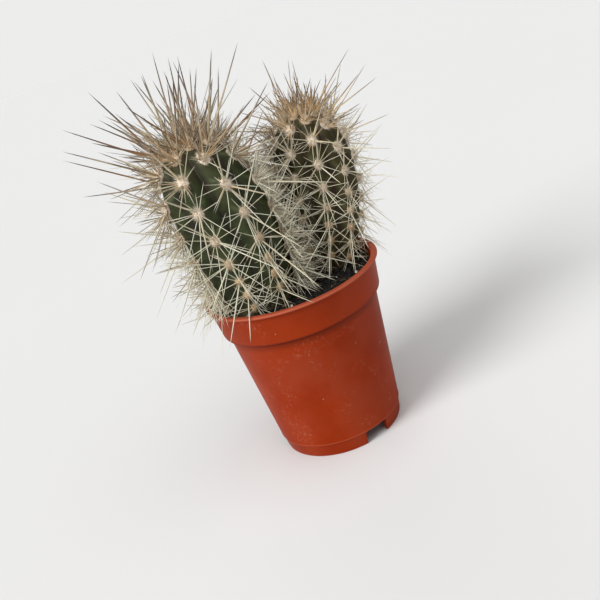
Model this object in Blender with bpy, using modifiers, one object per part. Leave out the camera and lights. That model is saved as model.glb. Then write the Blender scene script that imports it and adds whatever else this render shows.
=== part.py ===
"""Potted cardon cactus: two spiny ribbed stems in a small round plastic pot of soil.

Units are metres and +Z is up. The origin is on the pot's axis, where its foot stands.
Each stem is one ribbed body with rows of felt pads along its ribs and needles that grow
from the pads. Its root end tapers down into a plain round hole in the soil.
Angles round a stem or the pot run from -Y towards +X.
"""

import itertools
import math
import random
from dataclasses import dataclass

import bmesh
import bpy
import numpy as np
from mathutils import Matrix, Vector

MM = 0.001

# Pot: a 55 mm nursery pot, one thin moulding
POT_SIDES = 40
POT_HEIGHT = 53.5 * MM
POT_WALL = 0.9 * MM
LIP_RADIUS = 27.5 * MM
LIP_THICKNESS = 1.0 * MM
COLLAR_TOP_RADIUS = 26.4 * MM
COLLAR_FOOT_RADIUS = 25.3 * MM
COLLAR_FOOT_Z = 43.2 * MM
BODY_TOP_RADIUS = 23.8 * MM
BODY_FOOT_RADIUS = 20.0 * MM
RIDGE_Z = 4.5 * MM
FOOT_TOP_RADIUS = 19.6 * MM
FOOT_RADIUS = 19.0 * MM
FOOT_WIDTH = 1.2 * MM
FLOOR_Z = 3.2 * MM
EDGE = 0.2 * MM
NOTCH_COUNT = 3
NOTCH_WIDTH = 8.0 * MM
NOTCH_ANGLE = 27.0
NOTCH_INNER_RADIUS = 16.2 * MM

POT_COLOUR = (0.36, 0.085, 0.034)
POT_ROUGHNESS = 0.45

# Soil: fills the pot to a little below the lip
FIT = 0.3 * MM
SOIL_Z = 50.3 * MM
SOIL_SWELL = 0.35 * MM
SOIL_WAVES = (310.0, 270.0, 520.0)
SOIL_PHASES = (1.0, -0.6)
SOIL_RINGS = 4
HOLE_SIDES = 24
SOIL_COLOUR = (0.014, 0.010, 0.009)
SOIL_ROUGHNESS = 0.95

# Stems: shared shape of the outline, the root and the ribs
DOME_START = 0.6
DOME_POWER = 2.5
ROOT_LENGTH = 26.0 * MM
ROOT_POWER = 1.3
RIB_RISE = 7.0 * MM
POLE = 0.1 * MM
SKIN_ROUGHNESS = 0.55

# Pads: low five-sided mounds of felt, smaller near the soil and at the very crown
PAD_SIDES = 5
PAD_STAND = 0.55 * MM
PAD_SUNK = 1.3 * MM
PAD_FLARE = 0.15
PAD_SOIL_GAP = 2.2 * MM
PAD_OLD_SIZE = 0.72
PAD_CROWN_SIZE = 0.5

# Needles: ranges of lift from the skin in degrees, length and root radius. A share says how
# far up its stem a pad is, and the young and old ranges say where those needles change.
# Lengths and radii are multiplied by the stem's needle scale, and growth near the crown by
# its crown growth, which is below 0 where the crown's needles are the shorter ones.
NEEDLE_SIDES = 3
NEEDLES_PER_PAD = 5
NEEDLES_PER_LOW_PAD = 4
LOW_PADS = 0.28
CENTRALS_UP = 0.5
SECOND_CENTRAL = 0.55
THIRD_CENTRAL = 0.85
YOUNG_PADS = (0.6, 0.95)
OLD_PADS = (0.0, 0.5)
CENTRAL_LIFT = (38.0, 62.0)
CENTRAL_LENGTH = (13.5 * MM, 23.5 * MM)
CENTRAL_RADIUS = 0.26 * MM
CENTRAL_SWAY = 55.0
CENTRAL_TURN = 140.0
RADIAL_LIFT = (16.0, 32.0)
RADIAL_LENGTH = (10.5 * MM, 14.0 * MM)
RADIAL_RADIUS = 0.19 * MM
RADIAL_SWAY = 12.0
RADIAL_DROOP = 0.14
GOLDEN_TURN = 0.618034
YOUNG_LIFT = (14.0, 24.0)
YOUNG_LENGTH = (4.5 * MM, 3.0 * MM)
YOUNG_RADIUS = 0.03 * MM
OLD_LENGTH = (3.5 * MM, 2.5 * MM)
NEEDLE_SEAT = 0.42
NEEDLE_SUNK = 0.8 * MM
SHORTEST_NEEDLE = 4.0 * MM

# Growth: how needles keep clear of each other and of other pieces
NEEDLE_GAP = 0.15 * MM
NODE_GAP = 0.4 * MM
ROOT_STRETCH = 1.0 * MM
SKIN_STRETCH = 2.4 * MM
TEST_STEP = 0.6 * MM
REACH = Vector((47.5, 41.0, 128.0)) * MM
LIFTS = (0.0, 7.0, 15.0, 24.0, 34.0)
SWINGS = (0.0, 9.0, -9.0, 18.0, -18.0)
CUTS = (1.0, 0.82, 0.64)
STEEPEST = 86.0


@dataclass(frozen=True)
class Stem:
    """Where a stem stands, its outline, its ribs and the spacing of its pads."""

    name: str
    foot: Vector
    crown: Vector
    bow: float
    radius: float
    waist: float
    neck: float
    ribs: int
    first_rib: float
    twist: float
    rib_depth: float
    columns_per_rib: int
    rows: int
    first_pads: tuple
    pad_arcs: tuple
    pad_steps: tuple
    pad_radius: float
    needle_scale: float
    crown_growth: float
    colour: tuple
    seed: int

    @property
    def length(self):
        """Length of the axis from foot to crown."""
        return (self.crown - self.foot).length

    @property
    def frame(self):
        """Placement of the stem: origin at its foot, +Z along its axis."""
        turn = Vector((0.0, 0.0, 1.0)).rotation_difference(self.crown - self.foot)
        return Matrix.Translation(self.foot) @ turn.to_matrix().to_4x4()


LARGE = Stem(
    name="stem_large",
    foot=Vector((-10.0, -4.9, 44.0)) * MM,
    crown=Vector((-15.8, -2.8, 101.2)) * MM,
    bow=1.3 * MM,
    radius=14.2 * MM,
    waist=0.68,
    neck=6.4 * MM,
    ribs=8,
    first_rib=36.0,
    twist=-12.5,
    rib_depth=0.2,
    columns_per_rib=6,
    rows=19,
    first_pads=(5.6 * MM, 3.0 * MM),
    pad_arcs=(4 * MM, 12 * MM, 30 * MM, 38 * MM, 45 * MM, 56 * MM),
    pad_steps=(5.0 * MM, 9.5 * MM, 8.3 * MM, 6.6 * MM, 5.0 * MM, 4.3 * MM),
    pad_radius=1.7 * MM,
    needle_scale=1.07,
    crown_growth=1.0,
    colour=(0.030, 0.052, 0.022),
    seed=8,
)
SMALL = Stem(
    name="stem_small",
    foot=Vector((10.4, 6.6, 44.0)) * MM,
    crown=Vector((20.0, 11.1, 96.2)) * MM,
    bow=1.5 * MM,
    radius=12.4 * MM,
    waist=0.59,
    neck=6.4 * MM,
    ribs=10,
    first_rib=3.0,
    twist=-3.0,
    rib_depth=0.17,
    columns_per_rib=4,
    rows=18,
    first_pads=(3.1 * MM, 4.8 * MM),
    pad_arcs=(3 * MM, 8 * MM, 20 * MM, 30 * MM, 45 * MM),
    pad_steps=(4.0 * MM, 7.4 * MM, 6.9 * MM, 5.6 * MM, 4.6 * MM),
    pad_radius=1.4 * MM,
    needle_scale=0.84,
    crown_growth=-0.9,
    colour=(0.034, 0.046, 0.020),
    seed=17,
)


@dataclass(frozen=True)
class Pad:
    """A felt pad on a rib crest, in the world frame. Its share is 0 at the soil, 1 at the crown."""

    place: Vector
    out: Vector
    up: Vector
    share: float
    radius: float
    seed: int


@dataclass(frozen=True)
class Needle:
    """A straight tapered needle, from its root on a pad to its point."""

    root: Vector
    direction: Vector
    length: float
    radius: float

    @property
    def tip(self):
        """The needle's point."""
        return self.root + self.direction * self.length


def clear_scene():
    """Remove every object, so that the model starts from nothing."""
    for obj in list(bpy.data.objects):
        bpy.data.objects.remove(obj, do_unlink=True)


def make_collection(name):
    """Return a new collection linked to the scene."""
    collection = bpy.data.collections.new(name)
    bpy.context.scene.collection.children.link(collection)
    return collection


def make_material(name, colour, roughness):
    """Return a Principled material of one colour."""
    material = bpy.data.materials.new(name)
    material.use_nodes = True
    shader = material.node_tree.nodes["Principled BSDF"]
    shader.inputs["Base Color"].default_value = (*colour, 1.0)
    shader.inputs["Roughness"].default_value = roughness
    shader.inputs["Metallic"].default_value = 0.0
    return material


def object_from(bm, name, collection, material=None):
    """Turn a bmesh into an object with smooth faces and sharp creases."""
    mesh = bpy.data.meshes.new(name)
    bm.to_mesh(mesh)
    bm.free()
    if material:
        mesh.materials.append(material)
    mesh.shade_smooth()
    mesh.set_sharp_from_angle(angle=math.radians(35.0))
    obj = bpy.data.objects.new(name, mesh)
    collection.objects.link(obj)
    return obj


def turned(name, outline, sides, collection, material=None):
    """Turn an outline of (radius, height) points about Z with a Screw modifier."""
    bm = bmesh.new()
    points = [bm.verts.new((radius, 0.0, height)) for radius, height in outline]
    for start, end in zip(points, points[1:]):
        bm.edges.new((start, end))
    obj = object_from(bm, name, collection, material)
    screw = obj.modifiers.new("Turn", "SCREW")
    screw.axis = "Z"
    screw.steps = sides
    screw.render_steps = sides
    screw.use_merge_vertices = True
    screw.merge_threshold = 0.00001
    screw.use_smooth_shade = True
    return obj


def bake(obj):
    """Replace an object's mesh by the result of its modifiers."""
    graph = bpy.context.evaluated_depsgraph_get()
    mesh = bpy.data.meshes.new_from_object(obj.evaluated_get(graph))
    obj.modifiers.clear()
    obj.data = mesh


def add_boolean(obj, operation, collection):
    """Cut a collection of closed objects from an object, or join them to it."""
    boolean = obj.modifiers.new(operation.title(), "BOOLEAN")
    boolean.operation = operation
    boolean.operand_type = "COLLECTION"
    boolean.collection = collection
    boolean.solver = "EXACT"


def discard(collection):
    """Remove a collection of helpers with all its objects."""
    for obj in list(collection.objects):
        bpy.data.objects.remove(obj, do_unlink=True)
    bpy.data.collections.remove(collection)


def arc(centre, radius, start, end, steps):
    """Points of an arc in an outline, with its angles in degrees from +X."""
    angles = [math.radians(start + (end - start) * i / steps) for i in range(steps + 1)]
    return [(centre[0] + radius * math.cos(a), centre[1] + radius * math.sin(a)) for a in angles]


def bore_radius(height):
    """Radius inside the pot's wall at a height."""
    heights = (FLOOR_Z + POT_WALL, COLLAR_FOOT_Z, COLLAR_FOOT_Z + POT_WALL, POT_HEIGHT)
    radii = (BODY_FOOT_RADIUS, BODY_TOP_RADIUS, COLLAR_FOOT_RADIUS, COLLAR_TOP_RADIUS)
    return np.interp(height, heights, np.array(radii) - POT_WALL)


def soil_height(x, y):
    """Height of the soil's slightly uneven surface."""
    broad = np.sin(SOIL_WAVES[0] * x + SOIL_PHASES[0]) * np.cos(SOIL_WAVES[1] * y + SOIL_PHASES[1])
    fine = np.sin(SOIL_WAVES[2] * (x - y))
    return SOIL_Z + SOIL_SWELL * (broad + 0.6 * fine)


def make_pot(collection, cutters):
    """The pot: a turned shell with a rolled lip, whose foot ring is notched for drainage."""
    floor_top = FLOOR_Z + POT_WALL
    lip = LIP_THICKNESS / 2
    outline = [
        (0.0, floor_top),
        (bore_radius(floor_top) - 5 * EDGE, floor_top),
        (bore_radius(floor_top), floor_top + 5 * EDGE),
        (bore_radius(COLLAR_FOOT_Z), COLLAR_FOOT_Z),
        (bore_radius(COLLAR_FOOT_Z + POT_WALL), COLLAR_FOOT_Z + POT_WALL),
        (bore_radius(POT_HEIGHT), POT_HEIGHT - 2 * EDGE),
        (bore_radius(POT_HEIGHT) + 2 * EDGE, POT_HEIGHT),
        *arc((LIP_RADIUS - lip, POT_HEIGHT - lip), lip, 90.0, -90.0, 4),
        (COLLAR_TOP_RADIUS, POT_HEIGHT - LIP_THICKNESS - EDGE),
        (COLLAR_FOOT_RADIUS, COLLAR_FOOT_Z + 2 * EDGE),
        (COLLAR_FOOT_RADIUS - 2 * EDGE, COLLAR_FOOT_Z),
        (BODY_TOP_RADIUS, COLLAR_FOOT_Z - EDGE),
        (BODY_FOOT_RADIUS, RIDGE_Z),
        (FOOT_TOP_RADIUS, RIDGE_Z - EDGE),
        (FOOT_RADIUS, EDGE),
        (FOOT_RADIUS - EDGE, 0.0),
        (FOOT_RADIUS - FOOT_WIDTH, 0.0),
        (FOOT_RADIUS - FOOT_WIDTH, FLOOR_Z),
        (0.0, FLOOR_Z),
    ]
    material = make_material("terracotta plastic", POT_COLOUR, POT_ROUGHNESS)
    pot = turned("pot", outline, POT_SIDES, collection, material)
    depth = LIP_RADIUS - NOTCH_INNER_RADIUS
    reach = NOTCH_INNER_RADIUS + depth / 2
    for index in range(NOTCH_COUNT):
        angle = math.radians(NOTCH_ANGLE) + index * math.tau / NOTCH_COUNT
        place = Matrix.Translation((reach * math.sin(angle), -reach * math.cos(angle), 0.0))
        size = Matrix.Diagonal((NOTCH_WIDTH, depth, 2 * (RIDGE_Z - EDGE / 2), 1.0))
        bm = bmesh.new()
        bmesh.ops.create_cube(bm, size=1.0, matrix=place @ Matrix.Rotation(angle, 4, "Z") @ size)
        notch = object_from(bm, f"notch_{index + 1}", cutters)
        notch.hide_render = True
        notch.display_type = "WIRE"
    add_boolean(pot, "DIFFERENCE", cutters)


def make_soil(collection, holes):
    """The soil: a plug that follows the pot's bore, cut by the holes of the stems."""
    top_radius = bore_radius(SOIL_Z) - FIT
    rings = [(top_radius * i / SOIL_RINGS, SOIL_Z) for i in range(SOIL_RINGS)]
    floor = FLOOR_Z + POT_WALL + FIT
    outline = [
        *rings,
        (top_radius, SOIL_Z),
        (bore_radius(COLLAR_FOOT_Z + POT_WALL) - FIT, COLLAR_FOOT_Z + POT_WALL + FIT),
        (bore_radius(COLLAR_FOOT_Z) - FIT, COLLAR_FOOT_Z + FIT),
        (bore_radius(floor) - FIT, floor + 5 * EDGE),
        (bore_radius(floor) - FIT - 5 * EDGE, floor),
        (0.0, floor),
    ]
    material = make_material("potting soil", SOIL_COLOUR, SOIL_ROUGHNESS)
    soil = turned("soil", outline, POT_SIDES, collection, material)
    bake(soil)
    for vertex in soil.data.vertices:
        if vertex.co.z > SOIL_Z - EDGE:
            vertex.co.z = soil_height(vertex.co.x, vertex.co.y)
    add_boolean(soil, "DIFFERENCE", holes)


def crest_radius(stem, height):
    """Radius over the rib crests, at a height along the stem's axis above its foot."""
    share = np.clip(height / stem.length, 0.0, 1.0)
    swell = np.sin(np.minimum(share / DOME_START, 1.0) * math.pi / 2)
    dome = np.clip((share - DOME_START) / (1.0 - DOME_START), 0.0, 1.0)
    root = np.clip((stem.neck - height) / ROOT_LENGTH, 0.0, 1.0)
    width = stem.waist + (1.0 - stem.waist) * swell
    ends = (1.0 - dome ** DOME_POWER) ** (1.0 / DOME_POWER) * (1.0 - root ** ROOT_POWER)
    return stem.radius * width * ends


def crest_angle(stem, height):
    """Angle of the first rib's crest at a height, in radians."""
    share = np.clip(height / stem.length, 0.0, 1.0)
    return math.radians(stem.first_rib) + math.radians(stem.twist) * share


def body_radius(stem, angle, height):
    """Radius of the ribbed body. The ribs fade out where the stem enters the soil."""
    fade = np.clip((height - stem.neck) / RIB_RISE, 0.0, 1.0)
    valley = 1.0 - np.abs(np.cos((angle - crest_angle(stem, height)) * stem.ribs / 2))
    return crest_radius(stem, height) * (1.0 - stem.rib_depth * fade * valley)


def axis_offset(stem, height):
    """How far the axis bows towards +X at a height."""
    share = np.clip(height / stem.length, 0.0, 1.0)
    return stem.bow * 4.0 * share * (1.0 - share)


def crest_line(stem, low, steps=600):
    """Heights, radii and arc lengths along a rib crest, from the crown down to a height."""
    heights = np.linspace(stem.length, low, steps)
    radii = crest_radius(stem, heights)
    arcs = np.concatenate(([0.0], np.cumsum(np.hypot(np.diff(heights), np.diff(radii)))))
    return heights, radii, arcs


def stem_solid(stem, name, collection, columns, radius_at, material=None):
    """A sphere drawn out along the stem's axis, with rows at even steps down its outline."""
    heights, _, arcs = crest_line(stem, stem.neck - ROOT_LENGTH)
    bm = bmesh.new()
    bmesh.ops.create_uvsphere(bm, u_segments=columns, v_segments=stem.rows, radius=1.0)
    for vertex in bm.verts:
        share = math.acos(max(-1.0, min(1.0, vertex.co.z))) / math.pi
        height = float(np.interp(share * arcs[-1], arcs, heights))
        angle = math.atan2(vertex.co.x, -vertex.co.y) + crest_angle(stem, height)
        pole = math.hypot(vertex.co.x, vertex.co.y) < POLE
        radius = 0.0 if pole else radius_at(angle, height)
        side = axis_offset(stem, height)
        vertex.co = (side + radius * math.sin(angle), -radius * math.cos(angle), height)
    bmesh.ops.recalc_face_normals(bm, faces=bm.faces)
    obj = object_from(bm, name, collection, material)
    obj.matrix_world = stem.frame
    return obj


def make_body(stem, collection, material):
    """The ribbed body of a stem, from its crown to the point of its root."""
    columns = stem.ribs * stem.columns_per_rib
    return stem_solid(
        stem, stem.name, collection, columns,
        lambda angle, height: body_radius(stem, angle, height), material,
    )


def make_hole(stem, holes):
    """The plain round hole that a stem's root stands in, open above the soil."""
    widen = 1.0 / math.cos(math.pi / HOLE_SIDES)
    hole = stem_solid(
        stem, f"hole_{stem.name}", holes, HOLE_SIDES,
        lambda angle, height: (crest_radius(stem, height) + FIT) * widen,
    )
    hole.location.z -= FIT
    hole.hide_render = True
    hole.display_type = "WIRE"


def clears_the_pot(pad):
    """True unless the pad would press against the inside of the pot's wall."""
    reach = math.hypot(pad.place.x, pad.place.y) + PAD_STAND + NODE_GAP
    above = pad.place.z > POT_HEIGHT + pad.radius + NODE_GAP
    return above or reach < bore_radius(pad.place.z)


def stem_pads(stem):
    """Pads along every rib crest, closer together near the crown and the soil."""
    heights, radii, arcs = crest_line(stem, stem.neck + PAD_SOIL_GAP)
    falls = np.gradient(heights, arcs)
    spreads = np.gradient(radii, arcs)
    axis = Vector((0.0, 0.0, 1.0))
    turn = stem.frame.to_3x3()
    pads = []
    for rib in range(stem.ribs):
        along = stem.first_pads[rib % 2]
        row = 0
        while along < arcs[-1]:
            height, radius, fall, spread = (
                float(np.interp(along, arcs, values)) for values in (heights, radii, falls, spreads)
            )
            angle = float(crest_angle(stem, height)) + rib * math.tau / stem.ribs
            side = Vector((math.sin(angle), -math.cos(angle), 0.0))
            bow = Vector((float(axis_offset(stem, height)), 0.0, 0.0))
            share = (height - stem.neck) / (stem.length - stem.neck)
            age = PAD_OLD_SIZE + (1.0 - PAD_OLD_SIZE) * share
            crowding = min(1.0, PAD_CROWN_SIZE + (1.0 - PAD_CROWN_SIZE) * along / stem.pad_arcs[1])
            pad = Pad(
                place=stem.frame @ (bow + side * radius + axis * height),
                out=(turn @ (side * -fall + axis * spread)).normalized(),
                up=(turn @ (side * -spread - axis * fall)).normalized(),
                share=share,
                radius=stem.pad_radius * age * crowding,
                seed=stem.seed * 10000 + rib * 100 + row,
            )
            if clears_the_pot(pad):
                pads.append(pad)
            along += float(np.interp(along, stem.pad_arcs, stem.pad_steps))
            row += 1
    return pads


def blend(value, low, high):
    """0 below low, 1 above high and a straight slope between."""
    return min(1.0, max(0.0, (value - low) / (high - low)))


def central_needle(stem, pad, rng, index, young, old):
    """A strong needle that stands out of the pad: up near the crown, down near the soil."""
    heading = 0.0 if pad.share > CENTRALS_UP else 180.0
    turn = heading + rng.uniform(-CENTRAL_SWAY, CENTRAL_SWAY) + CENTRAL_TURN * index
    lift = rng.uniform(*CENTRAL_LIFT) + YOUNG_LIFT[0] * young
    growth = YOUNG_LENGTH[0] * young * stem.crown_growth
    length = rng.uniform(*CENTRAL_LENGTH) + growth - OLD_LENGTH[0] * old
    return lift, turn, length, CENTRAL_RADIUS + YOUNG_RADIUS * young


def radial_needle(stem, rng, index, young, old):
    """A finer needle that leans over the skin, a golden turn round the pad from the last."""
    turn = 180.0 + 360.0 * GOLDEN_TURN * index + rng.uniform(-RADIAL_SWAY, RADIAL_SWAY)
    lift = rng.uniform(*RADIAL_LIFT) + YOUNG_LIFT[1] * young
    growth = YOUNG_LENGTH[1] * young * stem.crown_growth
    length = rng.uniform(*RADIAL_LENGTH) + growth - OLD_LENGTH[1] * old
    length *= 1.0 - RADIAL_DROOP * math.cos(math.radians(turn))
    return lift, turn, length, RADIAL_RADIUS + YOUNG_RADIUS * young


def pad_needles(stem, pad):
    """The needles a pad would grow in free space, as (lift, turn, length, radius)."""
    rng = random.Random(pad.seed)
    young = blend(pad.share, *YOUNG_PADS)
    old = 1.0 - blend(pad.share, *OLD_PADS)
    centrals = 1 + int(pad.share > SECOND_CENTRAL) + int(pad.share > THIRD_CENTRAL)
    count = NEEDLES_PER_LOW_PAD if pad.share < LOW_PADS else NEEDLES_PER_PAD
    needles = []
    for index in range(count):
        if index < centrals:
            lift, turn, length, radius = central_needle(stem, pad, rng, index, young, old)
        else:
            lift, turn, length, radius = radial_needle(stem, rng, index - centrals, young, old)
        needles.append((lift, turn, length * stem.needle_scale, radius * stem.needle_scale))
    return needles


def segment_gaps(start, end, starts, ends):
    """Least distance between one segment and each of many."""
    first = end - start
    others = ends - starts
    between = start - starts
    a = first @ first
    e = np.einsum("ij,ij->i", others, others)
    f = np.einsum("ij,ij->i", others, between)
    c = between @ first
    b = others @ first
    spread = a * e - b * b
    s = np.clip((b * f - c * e) / np.maximum(spread, 1e-18), 0.0, 1.0)
    t = np.clip((b * s + f) / e, 0.0, 1.0)
    s = np.clip((b * t - c) / a, 0.0, 1.0)
    gap = between + s[:, None] * first - t[:, None] * others
    return np.linalg.norm(gap, axis=1)


class Room:
    """What a needle has to stay clear of: pot, soil, stems, pads and earlier needles."""

    def __init__(self, stems, pads):
        self.stems = stems
        self.pads = pads
        self.needles = {stem.name: [] for stem in stems}

    def clear_of_pot_and_soil(self, points):
        """True where no point lies in or near the pot or the soil."""
        x, y, z = points.T
        reach = np.hypot(x, y)
        above = z > POT_HEIGHT + NODE_GAP
        inside = (reach < bore_radius(z) - NODE_GAP) & (z > soil_height(x, y) + NODE_GAP)
        outside = reach > LIP_RADIUS + NODE_GAP
        return bool(np.all(above | inside | outside))

    def clear_of_body(self, stem, points, gap):
        """True where no point lies in or near a stem's body."""
        frame = np.array(stem.frame.inverted())
        local = points @ frame[:3, :3].T + frame[:3, 3]
        x = local[:, 0] - axis_offset(stem, local[:, 2])
        y = local[:, 1]
        height = local[:, 2]
        surface = body_radius(stem, np.arctan2(x, -y), height)
        level = (height > 0.0) & (height < stem.length + gap)
        return bool(np.all((np.hypot(x, y) > surface + gap) | ~level))

    def clear_of_pads(self, stem, own, points):
        """True if no point lies near a pad other than the needle's own."""
        for name, pads in self.pads.items():
            others = [pad for pad in pads if pad is not own]
            places = np.array([pad.place + pad.out * PAD_STAND / 2 for pad in others])
            radii = np.array([pad.radius for pad in others])
            gap = NEEDLE_GAP if name == stem.name else NODE_GAP
            away = np.linalg.norm(points[:, None] - places[None], axis=2)
            if np.any(away < radii + gap):
                return False
        return True

    def clear_of_needles(self, stem, root, tip, radius):
        """True if the needle passes all earlier needles of both stems."""
        for name, needles in self.needles.items():
            if not needles:
                continue
            starts = np.array([needle.root + needle.direction * ROOT_STRETCH for needle in needles])
            ends = np.array([needle.tip for needle in needles])
            radii = np.array([needle.radius for needle in needles])
            gap = NEEDLE_GAP if name == stem.name else NODE_GAP
            if np.any(segment_gaps(root, tip, starts, ends) < radii + radius + gap):
                return False
        return True

    def admits(self, stem, pad, needle):
        """True if the needle touches nothing but its own pad."""
        start = np.array(needle.root + needle.direction * ROOT_STRETCH)
        tip = np.array(needle.tip)
        steps = max(3, int(needle.length / TEST_STEP))
        points = start + np.linspace(0.0, 1.0, steps)[:, None] * (tip - start)
        away = points[np.linalg.norm(points - np.array(pad.place), axis=1) > SKIN_STRETCH]
        bodies = all(
            self.clear_of_body(other, away, NEEDLE_GAP + needle.radius)
            if other is stem
            else self.clear_of_body(other, points, NODE_GAP)
            for other in self.stems
        )
        return (
            bodies
            and self.clear_of_pot_and_soil(points)
            and self.clear_of_pads(stem, pad, points)
            and self.clear_of_needles(stem, start, tip, needle.radius)
        )


def within_reach(root, direction, length):
    """A needle's length, cut back where its point would leave the plant's outer box."""
    for axis in range(3):
        travel = direction[axis] * length
        if abs(root[axis] + travel) > REACH[axis]:
            length *= (REACH[axis] - abs(root[axis])) / abs(travel)
    return length


def grow_needle(room, stem, pad, wish):
    """Fit one needle: lifted and swung until it is clear, else shortened, else None."""
    lift, turn, length, radius = wish
    across = pad.up.cross(pad.out)
    for cut, raised, swung in itertools.product(CUTS, LIFTS, SWINGS):
        height = math.radians(min(lift + raised, STEEPEST))
        way = math.radians(turn + swung)
        flat = pad.up * math.cos(way) + across * math.sin(way)
        direction = (flat * math.cos(height) + pad.out * math.sin(height)).normalized()
        root = pad.place + pad.out * PAD_STAND + flat * pad.radius * NEEDLE_SEAT
        needle = Needle(root, direction, within_reach(root, direction, length * cut), radius)
        if needle.length > SHORTEST_NEEDLE and room.admits(stem, pad, needle):
            return needle
    return None


def grow_needles(room, stem):
    """All the needles of a stem, in the order in which its pads lie."""
    grown = room.needles[stem.name]
    for pad in room.pads[stem.name]:
        for wish in pad_needles(stem, pad):
            needle = grow_needle(room, stem, pad, wish)
            if needle:
                grown.append(needle)
    return grown


def add_cone(name, collection, start, direction, radii, length, sides):
    """A closed cone that starts at a point and runs along a direction."""
    turn = Vector((0.0, 0.0, 1.0)).rotation_difference(direction).to_matrix().to_4x4()
    place = Matrix.Translation(start + direction * length / 2) @ turn
    bm = bmesh.new()
    bmesh.ops.create_cone(
        bm, cap_ends=True, segments=sides, radius1=radii[0], radius2=radii[1], depth=length, matrix=place,
    )
    object_from(bm, name, collection)


def make_stem(room, stem, collection):
    """A stem: its ribbed body joined with its pads and needles in one solid."""
    skin = make_material(f"{stem.name} skin", stem.colour, SKIN_ROUGHNESS)
    body = make_body(stem, collection, skin)
    growth = make_collection(f"{stem.name}_growth")
    for pad in room.pads[stem.name]:
        start = pad.place - pad.out * PAD_SUNK
        radii = (pad.radius * (1.0 + PAD_FLARE), pad.radius * (1.0 - PAD_FLARE))
        add_cone("pad", growth, start, pad.out, radii, PAD_SUNK + PAD_STAND, PAD_SIDES)
    for needle in grow_needles(room, stem):
        start = needle.root - needle.direction * NEEDLE_SUNK
        length = needle.length + NEEDLE_SUNK
        add_cone("needle", growth, start, needle.direction, (needle.radius, 0.0), length, NEEDLE_SIDES)
    bpy.context.view_layer.update()
    add_boolean(body, "UNION", growth)
    bake(body)
    discard(growth)


def main():
    """Build the pot, the soil and both stems."""
    clear_scene()
    plant = make_collection("potted_cactus")
    cutters = make_collection("pot_cutters")
    holes = make_collection("soil_cutters")
    stems = (LARGE, SMALL)
    room = Room(stems, {stem.name: stem_pads(stem) for stem in stems})
    make_pot(plant, cutters)
    for stem in stems:
        make_hole(stem, holes)
    make_soil(plant, holes)
    for stem in stems:
        make_stem(room, stem, plant)


main()
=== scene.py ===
"""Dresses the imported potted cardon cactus: skin, felt, spines, soil and moulded plastic.

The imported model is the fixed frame. Finer pieces stand for its four nodes, in the same places
and with the same outlines. Units are metres and +Z is up. Angles round a stem or round the
pot run from -Y towards +X.
"""

import itertools
import logging
import math
import random
from dataclasses import dataclass, replace
from enum import Enum

import bmesh
import bpy
import numpy as np
from mathutils import Matrix, Vector, noise


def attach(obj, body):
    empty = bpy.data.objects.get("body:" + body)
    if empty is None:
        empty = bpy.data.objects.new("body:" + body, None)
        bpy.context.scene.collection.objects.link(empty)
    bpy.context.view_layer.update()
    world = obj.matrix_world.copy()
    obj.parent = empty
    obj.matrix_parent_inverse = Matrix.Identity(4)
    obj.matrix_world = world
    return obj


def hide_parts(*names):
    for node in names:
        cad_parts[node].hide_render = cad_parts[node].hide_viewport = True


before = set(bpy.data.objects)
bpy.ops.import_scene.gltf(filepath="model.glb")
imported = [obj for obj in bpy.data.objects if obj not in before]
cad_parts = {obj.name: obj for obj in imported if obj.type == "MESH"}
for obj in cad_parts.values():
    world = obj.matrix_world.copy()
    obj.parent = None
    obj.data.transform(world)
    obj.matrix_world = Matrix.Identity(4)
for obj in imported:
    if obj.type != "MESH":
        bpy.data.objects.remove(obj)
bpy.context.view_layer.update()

LOG = logging.getLogger("cactus")
MM = 0.001
Colour = tuple[float, float, float]
Span = tuple[float, float]
Numbers = Points = np.ndarray
Material, Mesh, Node = bpy.types.Material, bpy.types.Mesh, bpy.types.Node
Socket = bpy.types.NodeSocket


class Kind(Enum):
    """The kinds of spine that an areole grows."""

    CENTRAL = 1
    RADIAL = 2
    SHORT = 3
    BRISTLE = 4


class Cut(Enum):
    """How uneven the lumps of the potting mix are."""

    BLUNT = 0.22
    RAGGED = 0.42


def blend(value: float, low: float, high: float) -> float:
    """Give 0 below low, 1 above high and a straight slope between."""
    return min(1.0, max(0.0, (value - low) / (high - low)))


def bell(values: Numbers, width: float) -> Numbers:
    """Give 1 where a value is 0, falling off smoothly over a width."""
    return np.exp(-(values / width) ** 2)


def unit(vectors: Points) -> Points:
    """Scale vectors to length 1."""
    return vectors / np.linalg.norm(vectors, axis=-1, keepdims=True)


def rgba(value: object) -> object:
    """Give a plain colour its alpha, and leave a socket alone."""
    return (*value, 1.0) if isinstance(value, tuple) else value


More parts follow.
